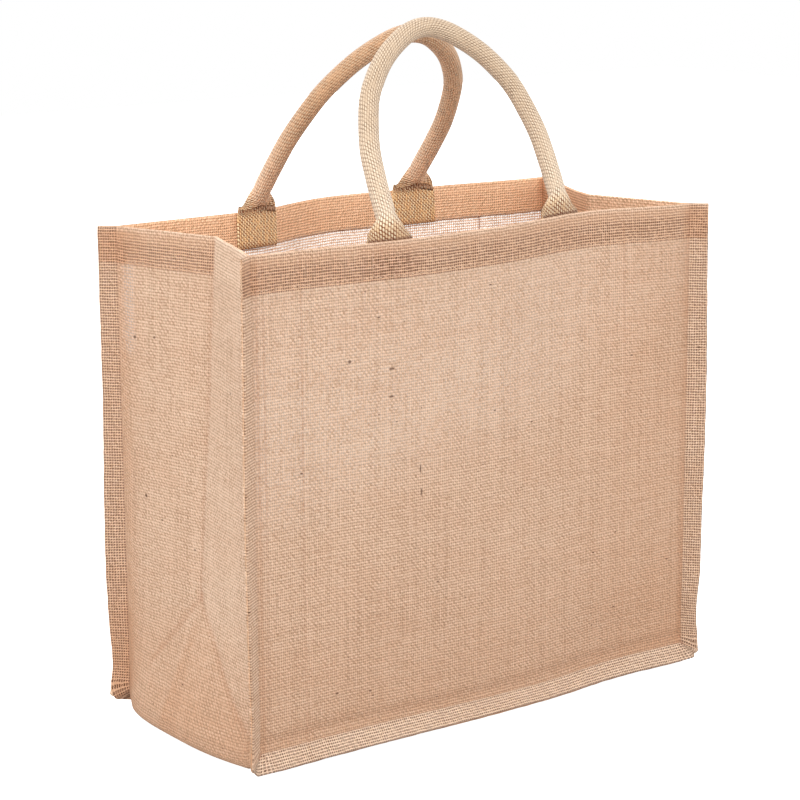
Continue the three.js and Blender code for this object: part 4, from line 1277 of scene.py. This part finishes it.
class BagColours(bpy.types.PropertyGroup):
    """Colours of the cloth and the webbing, and how fine their weave is."""

    jute: colour_setting("Jute", "Main colour of the cloth", 219, 188, 162)
    # also the colour of the painted warm shade
    jute_warm: colour_setting("Warm jute", "Colour of the more orange patches", 206, 158, 124)
    # also the colour of painted highlights and light
    jute_pale: colour_setting("Pale jute", "Colour of the paler yarns", 244, 217, 193)
    # the colour of the painted shade in the weave's hollows, and of darker yarns by chance
    jute_shade: colour_setting("Jute shade", "Colour between the yarns of single cloth", 170, 134, 105)
    # the colour of the painted shadow seen through the holes, and of the dark specks
    jute_gap: colour_setting("Jute gaps", "Colour between the yarns of doubled cloth", 72, 36, 18)
    # also the colour of painted shade along the gusset's folds and on the hem over the handles' flat ends
    jute_seam: colour_setting("Jute seam", "Colour of the cloth pulled into a seam", 150, 84, 50)
    jute_sheer: colour_setting("Sheer jute", "Colour of thin cloth with light behind it", 208, 182, 164)
    webbing: colour_setting("Webbing", "Main colour of the handles", 221, 199, 174)
    webbing_pale: colour_setting("Pale webbing", "Colour of the paler yarns of the handles", 240, 222, 200)
    # painted shade of the back handle
    webbing_in_shade: colour_setting("Warm webbing", "Colour of the handle in its own shade", 250, 206, 170)
    # Painted light: the flat ends' colours are a warmer, lighter copy of the webbing's
    webbing_tab: colour_setting("Sewn webbing", "Colour of the flat ends of the handles", 255, 213, 158)
    webbing_tab_pale: colour_setting("Pale sewn webbing", "Colour of its paler yarns", 255, 240, 202)
    webbing_tab_gap: colour_setting("Sewn webbing gaps", "Colour between its yarns", 146, 88, 46)
    # the colour of the painted shade between the floats
    webbing_gap: colour_setting("Webbing gaps", "Colour between the yarns of the handles", 102, 68, 42)
    # the colour of the painted shadow in the fold at a handle's foot
    webbing_foot_shade: colour_setting("Handle foot", "Colour inside the folded foot of a handle", 96, 48, 28)
    pitch_across: bpy.props.FloatProperty(name="Warp pitch", description="Distance between two upright yarns",
                                          default=0.00179, min=0.0005, max=0.01, unit="LENGTH")
    pitch_along: bpy.props.FloatProperty(name="Weft pitch", description="Distance between two level yarns",
                                         default=0.00208, min=0.0005, max=0.01, unit="LENGTH")


class BagStage(bpy.types.PropertyGroup):
    """Light and floor."""

    surround: bpy.props.FloatProperty(name="Surround", description="Light from all round",
                                      default=1.36, min=0)
    key: bpy.props.FloatProperty(name="Key light", description="Power of the large lamp on the left",
                                 default=30, min=0, unit="POWER")
    rim: bpy.props.FloatProperty(name="Rim light", default=0.9, min=0,
                                 description="Power of the lamp behind, as a share of the key")
    floor: bpy.props.FloatProperty(name="Floor glow", default=0.9, min=0,
                                   description="How bright the floor looks besides its own light")


def finish_piece(obj, node):
    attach(obj, "root")
    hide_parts(node)


class BAG_OT_stage(bpy.types.Operator):
    """Sets up the camera, the pale floor and the soft light"""

    bl_idname = "tote_bag.stage"
    bl_label = "Stage"

    def execute(self, context):
        scene = context.scene
        settings = scene.bag_stage
        lens = bpy.data.cameras.new("camera")
        camera = bpy.data.objects.new("camera", lens)
        camera.matrix_world = camera_matrix(*[CAMERA[k] for k in ("place", "yaw", "pitch", "roll")])
        lens.lens = CAMERA["lens"]
        lens.sensor_width = 36
        lens.clip_end = 50
        scene.collection.objects.link(camera)
        scene.camera = camera
        scene.view_settings.view_transform = "Standard"
        scene.world = white_surround(settings.surround)
        area_light("key", **KEY, power=settings.key)
        area_light("rim", **RIM, power=settings.key * settings.rim)
        floor_object(settings.floor)
        return {"FINISHED"}


class BAG_OT_panels(bpy.types.Operator):
    """Makes the front and back panels"""

    bl_idname = "tote_bag.panels"
    bl_label = "Panels"

    def execute(self, context):
        for name, side, node in (("front_cloth", -1, "front_panel"), ("back_cloth", 1, "back_panel")):
            obj = panel_piece(name, side, context.scene.bag_colours)
            finish_piece(obj, node)
        return {"FINISHED"}


class BAG_OT_gusset(bpy.types.Operator):
    """Makes the gusset strip"""

    bl_idname = "tote_bag.gusset"
    bl_label = "Gusset"

    def execute(self, context):
        obj = gusset_piece("gusset_cloth", context.scene.bag_colours)
        finish_piece(obj, "gusset")
        return {"FINISHED"}


class BAG_OT_handles(bpy.types.Operator):
    """Makes the two rolled webbing handles"""

    bl_idname = "tote_bag.handles"
    bl_label = "Handles"

    def execute(self, context):
        for name, handle in HANDLES.items():
            obj, length = handle_piece(name, handle, context.scene.bag_colours)
            finish_piece(obj, handle["node"])
        return {"FINISHED"}


class BAG_OT_stitches(bpy.types.Operator):
    """Makes the stitches along the hems and round the ends of the handles"""

    bl_idname = "tote_bag.stitches"
    bl_label = "Stitches"

    def execute(self, context):
        obj = stitch_piece("hem_stitches", context.scene.bag_colours)
        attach(obj, "root")
        return {"FINISHED"}


class BAG_PT_tools(bpy.types.Panel):
    """Lists the bag's pieces"""

    bl_idname = "BAG_PT_tools"
    bl_label = "Tote Bag"
    bl_space_type = "VIEW_3D"
    bl_region_type = "UI"
    bl_category = "Tote Bag"

    def draw(self, context):
        for group in (context.scene.bag_colours, context.scene.bag_stage):
            for setting in group.bl_rna.properties:
                if setting.identifier not in ("rna_type", "name"):
                    self.layout.prop(group, setting.identifier)
        for operator in OPERATORS:
            self.layout.operator(operator.bl_idname)


OPERATORS = (BAG_OT_stage, BAG_OT_gusset, BAG_OT_panels, BAG_OT_handles, BAG_OT_stitches)
CLASSES = (BagColours, BagStage, *OPERATORS, BAG_PT_tools)


def register():
    for cls in CLASSES:
        bpy.utils.register_class(cls)
    bpy.types.Scene.bag_colours = bpy.props.PointerProperty(type=BagColours)
    bpy.types.Scene.bag_stage = bpy.props.PointerProperty(type=BagStage)


def unregister():
    del bpy.types.Scene.bag_stage
    del bpy.types.Scene.bag_colours
    for cls in reversed(CLASSES):
        bpy.utils.unregister_class(cls)


def main():
    register()
    bpy.ops.tote_bag.stage()
    bpy.ops.tote_bag.gusset()
    bpy.ops.tote_bag.panels()
    bpy.ops.tote_bag.handles()
    bpy.ops.tote_bag.stitches()


if __name__ == "__main__":
    main()
